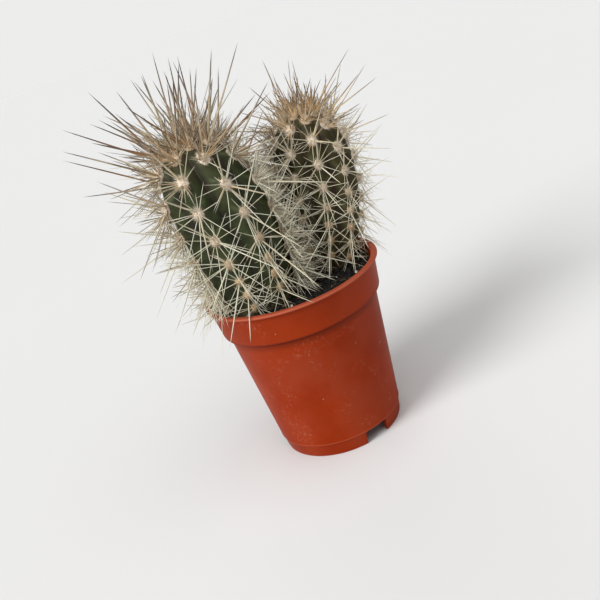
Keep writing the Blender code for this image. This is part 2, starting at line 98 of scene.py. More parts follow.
class Graph:
    """Adds linked nodes to one material, node group or world."""

    def __init__(self, tree: bpy.types.NodeTree) -> None:
        """Work on the given node tree."""
        self.tree = tree

    def add(self, kind: str, inputs: dict | None = None, **settings: object) -> Node:
        """Add a node, set its properties, and set or link its inputs.

        Args:
            kind: The node's type, without the word ShaderNode.
            inputs: A value or a socket for each named input.
            settings: The node's own properties.

        Returns:
            The new node.
        """
        node = self.tree.nodes.new(f"ShaderNode{kind}")
        for name, value in settings.items():
            setattr(node, name, value)
        for name, value in (inputs or {}).items():
            if isinstance(value, Socket):
                self.feed(node, name, value)
            else:
                node.inputs[name].default_value = value
        return node

    def feed(self, node: Node, name: str | int, socket: Socket) -> None:
        """Link a socket to a node's input."""
        self.tree.links.new(socket, node.inputs[name])

    def mix(self, low: object, high: object, factor: object) -> Socket:
        """Blend from a low colour to a high one by a factor, each a value or a socket."""
        ends = {6: rgba(low), 7: rgba(high), 0: factor}
        return self.add("Mix", ends, data_type="RGBA").outputs[2]

    def maths(self, operation: str, first: object, second: object = 0.0, clamp: bool = True) -> Socket:
        """Do one step of arithmetic on values or sockets, kept from 0 to 1 where it is clamped."""
        return self.add("Math", {0: first, 1: second}, operation=operation, use_clamp=clamp).outputs[0]

    def times(self, first: object, second: object) -> Socket:
        """Multiply two values or sockets, and keep the result from 0 to 1."""
        return self.maths("MULTIPLY", first, second)

    def slope(self, value: Socket, low: float, high: float) -> Socket:
        """Turn a value into a smooth mask, 0 at low and 1 at high."""
        ends = {"Value": value, "From Min": low, "From Max": high}
        return self.add("MapRange", ends, interpolation_type="SMOOTHSTEP").outputs[0]

    def ramp(self, mask: Socket, low: float, high: float) -> Socket:
        """Turn a mask into a value, low at 0 and high at 1."""
        return self.add("MapRange", {"Value": mask, "To Min": low, "To Max": high}).outputs[0]

    def attribute(self, name: str) -> Socket:
        """Read a named number of the mesh."""
        return self.add("Attribute", attribute_name=name).outputs["Fac"]

    def place(self) -> Socket:
        """Read the place of the surface in the object's own frame."""
        return self.add("TexCoord").outputs["Object"]

    def noise(self, scale: float | Socket, detail: float = 3.0, vector: Socket | None = None) -> Socket:
        """Add plain noise of so many waves a metre and octaves, in the object's frame or another."""
        inputs = {"Vector": vector or self.place(), "Scale": scale, "Detail": detail}
        return self.add("TexNoise", inputs).outputs["Fac"]


class Paint(Graph):
    """A material with one Principled shader, in the making."""

    def __init__(self, name: str, inputs: dict[str, float]) -> None:
        """Make the material.

        Args:
            name: The material's name.
            inputs: Values that are the same all over the surface.
        """
        self.material = bpy.data.materials.new(name)
        self.material.use_nodes = True
        super().__init__(self.material.node_tree)
        self.shader = self.tree.nodes["Principled BSDF"]
        for key, value in inputs.items():
            self.shader.inputs[key].default_value = value

    def layered(self, colour: Socket, *layers: tuple[object, Socket, float]) -> Socket:
        """Lay colours over one another.

        Args:
            colour: The lowest colour.
            layers: Colour, mask and strength of each layer above it.

        Returns:
            What is seen from above.
        """
        for above, mask, strength in layers:
            colour = self.mix(colour, above, self.times(mask, strength))
        return colour

    def finish(
        self, colour: Socket, rough: Socket | None = None, relief: tuple[Socket, float, float] | None = None,
    ) -> Material:
        """Feed the shader with what changes over the surface.

        Args:
            colour: The base colour.
            rough: The roughness, where it changes.
            relief: Height, strength and depth of the relief, where there is any.

        Returns:
            The finished material.
        """
        self.feed(self.shader, "Base Color", colour)
        if rough is not None:
            self.feed(self.shader, "Roughness", rough)
        if relief is not None:
            height, strength, depth = relief
            bump = self.add("Bump", {"Height": height, "Strength": strength, "Distance": depth})
            self.feed(self.shader, "Normal", bump.outputs[0])
        return self.material


def new_group(name: str, inputs: dict[str, str], outputs: dict[str, str]) -> tuple[Graph, Node, Node]:
    """Make an empty shader node group.

    Args:
        name: The group's name.
        inputs: Socket type of each named input.
        outputs: Socket type of each named output.

    Returns:
        The group's graph, and its input and output nodes.
    """
    group = bpy.data.node_groups.new(name, "ShaderNodeTree")
    for way, sockets in (("INPUT", inputs), ("OUTPUT", outputs)):
        for key, kind in sockets.items():
            group.interface.new_socket(key, in_out=way, socket_type=f"NodeSocket{kind}")
    return Graph(group), group.nodes.new("NodeGroupInput"), group.nodes.new("NodeGroupOutput")


class Effects:
    """The shader node groups that several finishes share."""

    PATCH_EDGE = (0.36, 0.64)

    def __init__(self) -> None:
        """Build each group once."""
        self.mottle = self.make_mottle()
        self.specks = self.make_specks()

    def make_mottle(self) -> bpy.types.NodeTree:
        """Make soft patches of two colours.

        Returns:
            The node group.
        """
        inputs = {"Vector": "Vector", "Scale": "Float", "Dark": "Color", "Light": "Color"}
        graph, given, made = new_group("mottle", inputs, {"Color": "Color", "Mask": "Float"})
        read = given.outputs
        mask = graph.slope(graph.noise(read["Scale"], 4.0, read["Vector"]), *self.PATCH_EDGE)
        graph.feed(made, "Color", graph.mix(read["Dark"], read["Light"], mask))
        graph.feed(made, "Mask", mask)
        return graph.tree

    def make_specks(self) -> bpy.types.NodeTree:
        """Make small scattered dots, of which only a share is kept.

        Returns:
            The node group.
        """
        inputs = {"Vector": "Vector", "Scale": "Float", "Size": "Float", "Share": "Float"}
        graph, given, made = new_group("specks", inputs, {"Mask": "Float"})
        read = given.outputs
        cells = graph.add("TexVoronoi", {"Vector": read["Vector"], "Scale": read["Scale"]})
        dot = graph.maths("LESS_THAN", cells.outputs["Distance"], read["Size"])
        pick = graph.add("SeparateColor", {"Color": cells.outputs["Color"]}).outputs[0]
        graph.feed(made, "Mask", graph.times(dot, graph.maths("LESS_THAN", pick, read["Share"])))
        return graph.tree

    def patches(self, graph: Graph, scale: float, dark: Colour, light: Colour) -> tuple[Socket, Socket]:
        """Place soft patches in a material.

        Args:
            graph: The material's graph.
            scale: Patches in a metre.
            dark: One colour.
            light: The other.

        Returns:
            The patchy colour, and the mask of its light patches.
        """
        values = {"Vector": graph.place(), "Scale": scale, "Dark": rgba(dark), "Light": rgba(light)}
        placed = graph.add("Group", values, node_tree=self.mottle)
        return placed.outputs["Color"], placed.outputs["Mask"]

    def dots(self, graph: Graph, scale: float, size: float, share: float) -> Socket:
        """Place scattered dots in a material, and give their mask."""
        values = {"Vector": graph.place(), "Scale": scale, "Size": size, "Share": share}
        return graph.add("Group", values, node_tree=self.specks).outputs["Mask"]


EFFECTS = Effects()


def linked(name: str, data: bpy.types.ID) -> bpy.types.Object:
    """Make an object and link it to the scene.

    Args:
        name: The object's name.
        data: Its mesh, light or camera.

    Returns:
        The new object.
    """
    made = bpy.data.objects.new(name, data)
    bpy.context.scene.collection.objects.link(made)
    return made


def settle(name: str, mesh: Mesh, material: Material) -> bpy.types.Object:
    """Link a finished mesh as a smooth piece that rides on the part's one body.

    Args:
        name: The piece's name.
        mesh: Its mesh, in the frame of the CAD.
        material: Its finish.

    Returns:
        The new object.
    """
    mesh.materials.clear()
    mesh.materials.append(material)
    mesh.shade_smooth()
    piece = linked(name, mesh)
    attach(piece, "root")
    LOG.info("%s: %d faces", name, len(mesh.polygons))
    return piece


def mesh_from(bm: bmesh.types.BMesh, name: str) -> Mesh:
    """Turn a bmesh into a mesh and free it.

    Args:
        bm: The shape.
        name: The mesh's name.

    Returns:
        The new mesh.
    """
    mesh = bpy.data.meshes.new(name)
    bm.to_mesh(mesh)
    bm.free()
    return mesh


def cut_away(mesh: Mesh, cutters: list[Mesh]) -> Mesh:
    """Cut closed shapes out of a mesh.

    Args:
        mesh: What is cut.
        cutters: The closed meshes that cut it.

    Returns:
        The mesh that is left.
    """
    helper = linked("cut", mesh)
    tools = [linked("cutter", cutter) for cutter in cutters]
    for tool in tools:
        boolean = helper.modifiers.new("Cut", "BOOLEAN")
        boolean.object = tool
        boolean.solver = "EXACT"
    graph = bpy.context.evaluated_depsgraph_get()
    result = bpy.data.meshes.new_from_object(helper.evaluated_get(graph))
    for used in (helper, *tools):
        bpy.data.objects.remove(used, do_unlink=True)
    return result


def store(mesh: Mesh, **numbers: Numbers) -> None:
    """Keep numbers for each vertex, for the finish to read.

    Args:
        mesh: The mesh.
        numbers: One array for each attribute.
    """
    for name, values in numbers.items():
        layer = mesh.attributes.new(name, "FLOAT", "POINT")
        layer.data.foreach_set("value", np.ascontiguousarray(values, np.float32).ravel())


class Pattern:
    """A small mesh that is repeated many times in one piece."""

    def __init__(self, bm: bmesh.types.BMesh) -> None:
        """Read a bmesh and free it.

        Args:
            bm: The shape to repeat.
        """
        mesh = mesh_from(bm, "pattern")
        self.corners = np.array([vertex.co for vertex in mesh.vertices])
        self.loops = np.array([loop.vertex_index for loop in mesh.loops])
        self.starts = np.array([face.loop_start for face in mesh.polygons])
        bpy.data.meshes.remove(mesh)

    def repeat(self, name: str, points: Points) -> Mesh:
        """Make one mesh of many copies.

        Args:
            name: The mesh's name.
            points: The corners of every copy, as copies x corners x 3.

        Returns:
            The new mesh.
        """
        count = len(points)
        order = np.arange(count)[:, None]
        mesh = bpy.data.meshes.new(name)
        mesh.vertices.add(count * len(self.corners))
        mesh.vertices.foreach_set("co", points.astype(np.float32).ravel())
        mesh.loops.add(count * len(self.loops))
        mesh.loops.foreach_set("vertex_index", (self.loops + order * len(self.corners)).ravel())
        mesh.polygons.add(count * len(self.starts))
        mesh.polygons.foreach_set("loop_start", (self.starts + order * len(self.loops)).ravel())
        mesh.update(calc_edges=True)
        mesh.validate()
        return mesh

    def spread(self, values: Numbers) -> Numbers:
        """Give each copy's number to all its corners."""
        return np.repeat(values, len(self.corners))


def spike(sides: int, rings: tuple[float, ...], profile: tuple[float, ...]) -> Pattern:
    """Make a spike of height 1 and root radius 1 that starts at the origin.

    Args:
        sides: Faces round it.
        rings: Heights of the rings between root and point.
        profile: Radius at the root and at each ring.

    Returns:
        The spike.
    """
    bm = bmesh.new()
    bmesh.ops.create_cone(
        bm, cap_ends=bool(rings), segments=sides, radius1=1.0, radius2=0.0, depth=1.0,
        matrix=Matrix.Translation((0.0, 0.0, 0.5)),
    )
    for ring in rings:
        bmesh.ops.bisect_plane(
            bm, geom=[*bm.verts, *bm.edges, *bm.faces], plane_co=(0.0, 0.0, ring), plane_no=(0.0, 0.0, 1.0),
        )
    for vertex in bm.verts:
        level = vertex.co.z
        if level < 1.0 - 1e-6:
            wide = float(np.interp(level, (0.0, *rings), profile)) / (1.0 - level)
            vertex.co = (vertex.co.x * wide, vertex.co.y * wide, level)
    return Pattern(bm)


def turned(outline: list[Span], sides: int) -> bmesh.types.BMesh:
    """Turn an outline of (radius, height) points once about Z.

    Args:
        outline: The points, from axis to axis.
        sides: Steps round.

    Returns:
        The closed shape, with its faces outwards.
    """
    bm = bmesh.new()
    points = [bm.verts.new((radius, 0.0, height)) for radius, height in outline]
    edges = [bm.edges.new(pair) for pair in zip(points, points[1:])]
    bmesh.ops.spin(
        bm, geom=[*points, *edges], cent=(0.0, 0.0, 0.0), axis=(0.0, 0.0, 1.0), angle=math.tau,
        steps=sides, use_merge=True,
    )
    bmesh.ops.remove_doubles(bm, verts=bm.verts, dist=0.005 * MM)
    bmesh.ops.recalc_face_normals(bm, faces=bm.faces)
    return bm


@dataclass(frozen=True)
class Band:
    """A level ring of another colour: its height, half its width, its colour and its strength."""

    level: float
    half: float
    colour: Colour
    strength: float


@dataclass(frozen=True)
class PlasticFinish:
    """Matte moulded plastic with a dusty film, smears and specks, paler rings of wear and painted highlight,
    and dark rings of painted shade.
    """

    name: str
    colour: Colour
    shade: Colour
    film: Colour
    # Paler colour of wear, also used as a painted highlight.
    worn_and_highlight: Colour
    dust: Colour
    # Dark colour that is painted shade under the collar.
    painted_shade: Colour
    roughness: float

    PATCH_SCALE, FILM_SCALE, SMEAR_SCALE, SCRATCH_SCALE = 48.0, 62.0, 105.0, 900.0
    GRAIN_SCALE, RIPPLE_SCALE, GRAIN_DEPTH = 2600.0, 120.0, 0.06 * MM
    # Turn of the scratches, how far they are drawn out, where they start and end, and strength.
    SCRATCHES = (((0.3, 0.9, 0.4), 0.1, 0.50, 0.9, 0.3), ((1.2, 0.2, 0.9), 0.03, 0.60, 0.72, 0.2))
    # Dots in a metre, their size, the share that is kept, strength, and whether smears hold them.
    DOTS = (
        (2400.0, 0.26, 0.3, 0.16, True), (900.0, 0.2, 0.005, 0.8, False), (420.0, 0.1, 0.012, 0.8, False),
    )

    def material(self, bands: tuple[Band, ...]) -> Material:
        """Make the material.

        Args:
            bands: The paler rings of wear and painted highlight, and the dark rings of painted shade.

        Returns:
            The material.
        """
        paint = Paint(self.name, {"Specular IOR Level": 0.05})
        coloured, _ = EFFECTS.patches(paint, self.PATCH_SCALE, self.shade, self.colour)
        film = paint.slope(paint.noise(self.FILM_SCALE, 6.0), 0.4, 0.72)
        coloured = self.dusted(paint, paint.mix(coloured, self.film, film))
        height = paint.add("SeparateXYZ", {"Vector": paint.place()}).outputs["Z"]
        # Each band lays a ring of colour by height: wear with a painted highlight, or painted shade.
        for band in bands:
            away = paint.maths("SUBTRACT", height, band.level, clamp=False)
            near = paint.slope(paint.maths("ABSOLUTE", away, clamp=False), band.half, 0.0)
            coloured = paint.layered(coloured, (band.colour, near, band.strength))
        rough = paint.ramp(film, self.roughness - 0.08, self.roughness + 0.08)
        ripple = paint.times(paint.noise(self.RIPPLE_SCALE), 0.7)
        grain = paint.maths("ADD", paint.noise(self.GRAIN_SCALE, 4.0), ripple)
        return paint.finish(coloured, rough, (grain, 0.35, self.GRAIN_DEPTH))

    def dusted(self, paint: Paint, coloured: Socket) -> Socket:
        """Lay smears, fine scratches and dots of dust over a colour.

        Args:
            paint: The material in the making.
            coloured: The colour below.

        Returns:
            The dusty colour.
        """
        smeared = paint.slope(paint.noise(self.SMEAR_SCALE), 0.52, 0.7)
        for turn, stretch, low, high, strength in self.SCRATCHES:
            values = {"Vector": paint.place(), "Rotation": turn, "Scale": (1.0, stretch, 1.0)}
            drawn = paint.add("Mapping", values).outputs[0]
            scratch = paint.slope(paint.noise(self.SCRATCH_SCALE, 5.0, drawn), low, high)
            coloured = paint.layered(coloured, (self.dust, scratch, paint.times(smeared, strength)))
        for scale, size, share, strength, held in self.DOTS:
            spread = paint.times(smeared if held else 1.0, strength)
            faint = paint.times(paint.noise(self.SCRATCH_SCALE), spread)
            coloured = paint.layered(coloured, (self.dust, EFFECTS.dots(paint, scale, size, share), faint))
        return coloured


@dataclass(frozen=True)
class EarthFinish:
    """Rough mineral or plant matter in two colours, with pale specks."""

    name: str
    dark: Colour
    light: Colour
    speck: Colour
    specks: float
    scale: float
    roughness: float
    relief: float

    SPECK_SCALE, GRAIN_SCALE = 1500.0, 2300.0

    def material(self) -> Material:
        """Make the material.

        Returns:
            The material.
        """
        paint = Paint(self.name, {"Specular IOR Level": 0.25})
        patches, light = EFFECTS.patches(paint, self.scale, self.dark, self.light)
        dots = EFFECTS.dots(paint, self.SPECK_SCALE, 0.3, self.specks)
        rough = paint.ramp(light, self.roughness, self.roughness - 0.2)
        grain = paint.noise(self.GRAIN_SCALE, 5.0)
        return paint.finish(paint.mix(patches, self.speck, dots), rough, (grain, 0.8, self.relief))


@dataclass(frozen=True)
class SkinFinish:
    """Waxy ribbed skin: deep green crests, purplish valleys and pale chevrons."""

    name: str
    deep: Colour
    fresh: Colour
    valley: Colour
    chevron: Colour
    cork: Colour
    tender: Colour

    PATCH_SCALE, BLOTCH_SCALE, BARK_SCALE = 230.0, 420.0, 700.0
    PORE_SCALE, GRAIN_SCALE, GRAIN_DEPTH = 2600.0, 900.0, 0.15 * MM

    def material(self) -> Material:
        """Make the material, which reads valley, chevron, ring and share from the mesh.

        Returns:
            The material.
        """
        paint = Paint(self.name, {"Specular IOR Level": 0.25})
        coloured, light = EFFECTS.patches(paint, self.PATCH_SCALE, self.deep, self.fresh)
        share, blotches = paint.attribute("share"), paint.noise(self.BLOTCH_SCALE)
        sunk = paint.slope(paint.attribute("valley"), 0.35, 0.95)
        low = paint.slope(share, 0.14, -0.02)
        pores = EFFECTS.dots(paint, self.PORE_SCALE, 0.2, 0.6)
        coloured = paint.layered(
            coloured,
            (self.tender, paint.slope(share, 0.72, 1.0), 0.8),
            (self.valley, paint.times(sunk, paint.slope(blotches, 0.2, 0.6)), 0.85),
            (self.chevron, paint.times(paint.attribute("chevron"), paint.slope(blotches, 0.3, 0.55)), 0.75),
            (self.cork, paint.attribute("ring"), 0.35),
            (self.cork, paint.times(low, paint.slope(paint.noise(self.BARK_SCALE), 0.42, 0.6)), 0.8),
            (self.chevron, pores, 0.4),
        )
        grain = paint.maths("ADD", paint.noise(self.GRAIN_SCALE, 4.0), paint.times(pores, 0.2))
        return paint.finish(coloured, paint.ramp(light, 0.42, 0.56), (grain, 0.5, self.GRAIN_DEPTH))


@dataclass(frozen=True)
class FeltFinish:
    """Matted wool: pale on young pads, tan to brown on old ones and at the very crown."""

    name: str
    young: Colour
    old: Colour
    stain: Colour
    crown: Colour

    SPOT_SCALE, HAIR_SCALE, HAIR_DEPTH = 1100.0, 5200.0, 0.12 * MM

    def material(self) -> Material:
        """Make the material, which reads youth and tone from the mesh.

        Returns:
            The material.
        """
        paint = Paint(self.name, {"Roughness": 0.9, "Specular IOR Level": 0.2})
        youth = paint.attribute("youth")
        coloured = paint.layered(
            paint.mix(self.old, self.young, youth),
            (self.stain, paint.slope(paint.noise(self.SPOT_SCALE), 0.46, 0.66), 0.5),
            (self.stain, paint.attribute("tone"), 0.25),
            (self.crown, paint.slope(youth, 1.42, 1.6), 0.6),
        )
        hairs = paint.noise(self.HAIR_SCALE, 4.0)
        return paint.finish(coloured, relief=(hairs, 0.9, self.HAIR_DEPTH))


@dataclass(frozen=True)
class SpineFinish:
    """Horny spines: cream low on the plant, tan with grey-brown points near the crown."""

    name: str
    cream: Colour
    straw: Colour
    amber: Colour
    brown: Colour
    grey: Colour

    STREAK_SCALE, GRAIN_SCALE, GRAIN_DEPTH = 1800.0, 4200.0, 0.05 * MM

    def material(self) -> Material:
        """Make the material, which reads along, youth and tone from the mesh.

        Returns:
            The material.
        """
        paint = Paint(self.name, {"Specular IOR Level": 0.4})
        along, youth, tone = (paint.attribute(name) for name in ("along", "youth", "tone"))
        pale = paint.layered(
            paint.mix(self.cream, self.straw, paint.slope(tone, 0.3, 1.1)),
            (self.straw, paint.slope(along, 0.22, 0.0), 0.7),
            (self.brown, paint.slope(along, 0.8, 1.0), 0.35),
        )
        rich = paint.mix(self.amber, self.brown, paint.slope(along, 0.05, 0.55))
        rich = paint.mix(rich, self.grey, paint.slope(along, 0.42, 0.88))
        bleached = paint.times(paint.slope(tone, 0.35, 0.95), paint.slope(along, 1.0, 0.4))
        coloured = paint.mix(pale, paint.layered(rich, (pale, bleached, 0.75)), youth)
        streaks = paint.slope(paint.noise(self.STREAK_SCALE, 2.0), 0.4, 0.72)
        coloured = paint.layered(coloured, (self.grey, streaks, 0.14))
        grain = paint.noise(self.GRAIN_SCALE, 2.0)
        return paint.finish(coloured, paint.ramp(along, 0.6, 0.42), (grain, 0.3, self.GRAIN_DEPTH))


# Its paler wear colour also serves as a painted highlight, and its darkest colour is painted shade under the
# collar.
TERRACOTTA = PlasticFinish(
    "terracotta_plastic", colour=(0.305, 0.032, 0.005), shade=(0.255, 0.024, 0.003),
    film=(0.290, 0.040, 0.014), worn_and_highlight=(0.47, 0.14, 0.085), dust=(0.58, 0.33, 0.24),
    painted_shade=(0.075, 0.010, 0.005), roughness=0.5,
)
PEAT = EarthFinish(
    "peat", dark=(0.005, 0.005, 0.004), light=(0.017, 0.016, 0.014), speck=(0.22, 0.20, 0.18),
    specks=0.015, scale=900.0, roughness=0.98, relief=0.4 * MM,
)
PERLITE = EarthFinish(
    "perlite", dark=(0.42, 0.40, 0.37), light=(0.74, 0.72, 0.68), speck=(0.30, 0.27, 0.24),
    specks=0.08, scale=1500.0, roughness=0.9, relief=0.1 * MM,
)
BARK = EarthFinish(
    "bark_fibre", dark=(0.045, 0.026, 0.016), light=(0.16, 0.10, 0.06), speck=(0.3, 0.25, 0.2),
    specks=0.05, scale=700.0, roughness=0.85, relief=0.1 * MM,
)
FELT = FeltFinish(
    "areole_felt", young=(0.94, 0.85, 0.74), old=(0.63, 0.48, 0.31), stain=(0.32, 0.20, 0.09),
    crown=(0.64, 0.45, 0.25),
)
LARGE_SPINES = SpineFinish(
    "spine_large", cream=(0.74, 0.74, 0.62), straw=(0.62, 0.56, 0.39), amber=(0.52, 0.305, 0.14),
    brown=(0.25, 0.132, 0.068), grey=(0.058, 0.043, 0.036),
)
SMALL_SPINES = SpineFinish(
    "spine_small", cream=(0.82, 0.79, 0.65), straw=(0.64, 0.56, 0.39), amber=(0.80, 0.54, 0.26),
    brown=(0.40, 0.245, 0.125), grey=(0.085, 0.062, 0.046),
)
BRISTLES = SpineFinish(
    "bristle", cream=(0.88, 0.84, 0.68), straw=(0.74, 0.63, 0.45), amber=(0.58, 0.38, 0.20),
    brown=(0.32, 0.20, 0.12), grey=(0.12, 0.095, 0.075),
)
LARGE_SKIN = SkinFinish(
    "skin_large", deep=(0.019, 0.027, 0.008), fresh=(0.040, 0.051, 0.016), valley=(0.024, 0.017, 0.015),
    chevron=(0.105, 0.130, 0.055), cork=(0.14, 0.105, 0.065), tender=(0.044, 0.040, 0.015),
)
SMALL_SKIN = SkinFinish(
    "skin_small", deep=(0.022, 0.019, 0.005), fresh=(0.046, 0.041, 0.009), valley=(0.032, 0.017, 0.013),
    chevron=(0.110, 0.108, 0.042), cork=(0.14, 0.105, 0.065), tender=(0.048, 0.040, 0.013),
)


@dataclass
class Pot:
    """A 55 mm nursery pot: one thin moulding with a rolled lip, a collar and a notched foot."""

    height: float = 53.5 * MM
    wall: float = 0.9 * MM
    lip_radius: float = 27.5 * MM
    lip_thickness: float = 1.0 * MM
    collar_top_radius: float = 26.4 * MM
    collar_foot_radius: float = 25.3 * MM
    collar_foot: float = 43.2 * MM
    body_top_radius: float = 23.8 * MM
    body_foot_radius: float = 20.0 * MM
    ridge: float = 4.5 * MM
    foot_top_radius: float = 19.75 * MM
    foot_radius: float = 19.1 * MM
    foot_width: float = 1.2 * MM
    floor: float = 3.2 * MM
    edge: float = 0.2 * MM
    softening: float = 0.12 * MM
    notch_angles: tuple[float, ...] = (27.0, 147.0, 267.0)
    notch_width: float = 8.0 * MM
    notch_inner_radius: float = 16.2 * MM
    notch_corner: float = 0.6 * MM
    sides: int = 144

    BEAD_ANGLES = range(90, -91, -20)
    SOFTENED_TURN = math.radians(24.0)
    SHARP_TURN = math.radians(40.0)
    FLOOR_MIDDLE = 5 * MM

    def bore(self, height: Numbers | float) -> Numbers | float:
        """Give the radius inside the wall.

        Args:
            height: Height or heights above the foot.

        Returns:
            The radius at each height.
        """
        heights = (self.floor + self.wall, self.collar_foot, self.collar_foot + self.wall, self.height)
        body = (self.body_foot_radius, self.body_top_radius)
        collar = (self.collar_foot_radius, self.collar_top_radius)
        return np.interp(height, heights, np.array(body + collar) - self.wall)

    def outline(self) -> list[Span]:
        """Draw the wall's section, from the middle of the floor over the lip to the underside.

        Returns:
            Radius and height of each point.
        """
        top, lip, edge = self.floor + self.wall, self.lip_thickness / 2, self.edge
        bead = [math.radians(angle) for angle in self.BEAD_ANGLES]
        return [
            (0.0, top),
            (self.bore(top) - 5 * edge, top),
            (self.bore(top) - 1.5 * edge, top + 1.5 * edge),
            (self.bore(top), top + 5 * edge),
            (self.bore(self.collar_foot), self.collar_foot),
            (self.bore(self.collar_foot + self.wall), self.collar_foot + self.wall),
            (self.bore(self.height), self.height - 2 * edge),
            (self.bore(self.height) + 2 * edge, self.height),
            *(
                (self.lip_radius - lip + lip * math.cos(angle), self.height - lip + lip * math.sin(angle))
                for angle in bead
            ),
            (self.collar_top_radius, self.height - self.lip_thickness - edge),
            (self.collar_foot_radius, self.collar_foot + 2 * edge),
            (self.collar_foot_radius - 0.6 * edge, self.collar_foot + 0.5 * edge),
            (self.collar_foot_radius - 2 * edge, self.collar_foot),
            (self.body_top_radius, self.collar_foot - edge),
            (self.body_foot_radius, self.ridge + 2 * edge),
            (self.body_foot_radius + 0.4 * edge, self.ridge + edge),
            (self.body_foot_radius, self.ridge),
            (self.foot_top_radius, self.ridge - edge),
            (self.foot_radius, edge),
            (self.foot_radius - edge, 0.0),
            (self.foot_radius - self.foot_width, 0.0),
            (self.foot_radius - self.foot_width, self.floor),
            (0.0, self.floor),
        ]

    def notch(self, degrees: float) -> Mesh:
        """Make the tool that cuts one drain notch.

        Args:
            degrees: Where the notch is, round the pot.

        Returns:
            A closed block with softened upper corners.
        """
        depth = self.lip_radius - self.notch_inner_radius
        reach = self.notch_inner_radius + depth / 2
        angle = math.radians(degrees)
        place = Matrix.Translation((reach * math.sin(angle), -reach * math.cos(angle), 0.0))
        size = Matrix.Diagonal((self.notch_width, depth, 2 * (self.ridge - self.edge / 2), 1.0))
        bm = bmesh.new()
        bmesh.ops.create_cube(bm, size=1.0, matrix=size)
        corners = [
            edge for edge in bm.edges
            if all(vertex.co.z > 0 for vertex in edge.verts)
            and abs(edge.verts[0].co.x - edge.verts[1].co.x) < MM
        ]
        bmesh.ops.bevel(
            bm, geom=corners, offset=self.notch_corner, segments=3, affect="EDGES", profile=0.5, material=-1,
        )
        bmesh.ops.transform(bm, matrix=place @ Matrix.Rotation(angle, 4, "Z"), verts=bm.verts)
        return mesh_from(bm, "notch")

    def bands(self) -> tuple[Band, ...]:
        """Place the lip's ring, worn paler with a painted highlight, the ridge's painted highlight, and the
        painted shade under the collar.

        Returns:
            The rings.
        """
        shaded_level = self.collar_foot - self.edge
        return (
            # The lip's ring is worn paler and carries a painted highlight along its top; the ridge's thin
            # ring is a painted highlight.
            Band(self.height - 0.3 * MM, 0.6 * MM, TERRACOTTA.worn_and_highlight, 0.62),
            Band(self.ridge + self.edge, 0.22 * MM, TERRACOTTA.worn_and_highlight, 0.4),
            # Painted shade under the collar: a dark line at the step and a wider soft falloff below it.
            Band(shaded_level, 1.15 * MM, TERRACOTTA.painted_shade, 0.82),
            Band(shaded_level - 1.2 * MM, 2.1 * MM, TERRACOTTA.painted_shade, 0.34),
        )

    def build(self) -> None:
        """Turn the wall, round its corners, cut its notches and dress it."""
        bm = turned(self.outline(), self.sides)
        corners = [
            edge for edge in bm.edges
            if edge.calc_face_angle(0.0) > self.SOFTENED_TURN
            and edge.verts[0].co.xy.length > self.FLOOR_MIDDLE
        ]
        bmesh.ops.bevel(
            bm, geom=corners, offset=self.softening, segments=2, affect="EDGES", profile=0.5, material=-1,
            clamp_overlap=True,
        )
        mesh = cut_away(mesh_from(bm, "pot_wall"), [self.notch(angle) for angle in self.notch_angles])
        piece = settle("pot_moulding", mesh, TERRACOTTA.material(self.bands()))
        mesh.set_sharp_from_angle(angle=self.SHARP_TURN)
        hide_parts("pot")


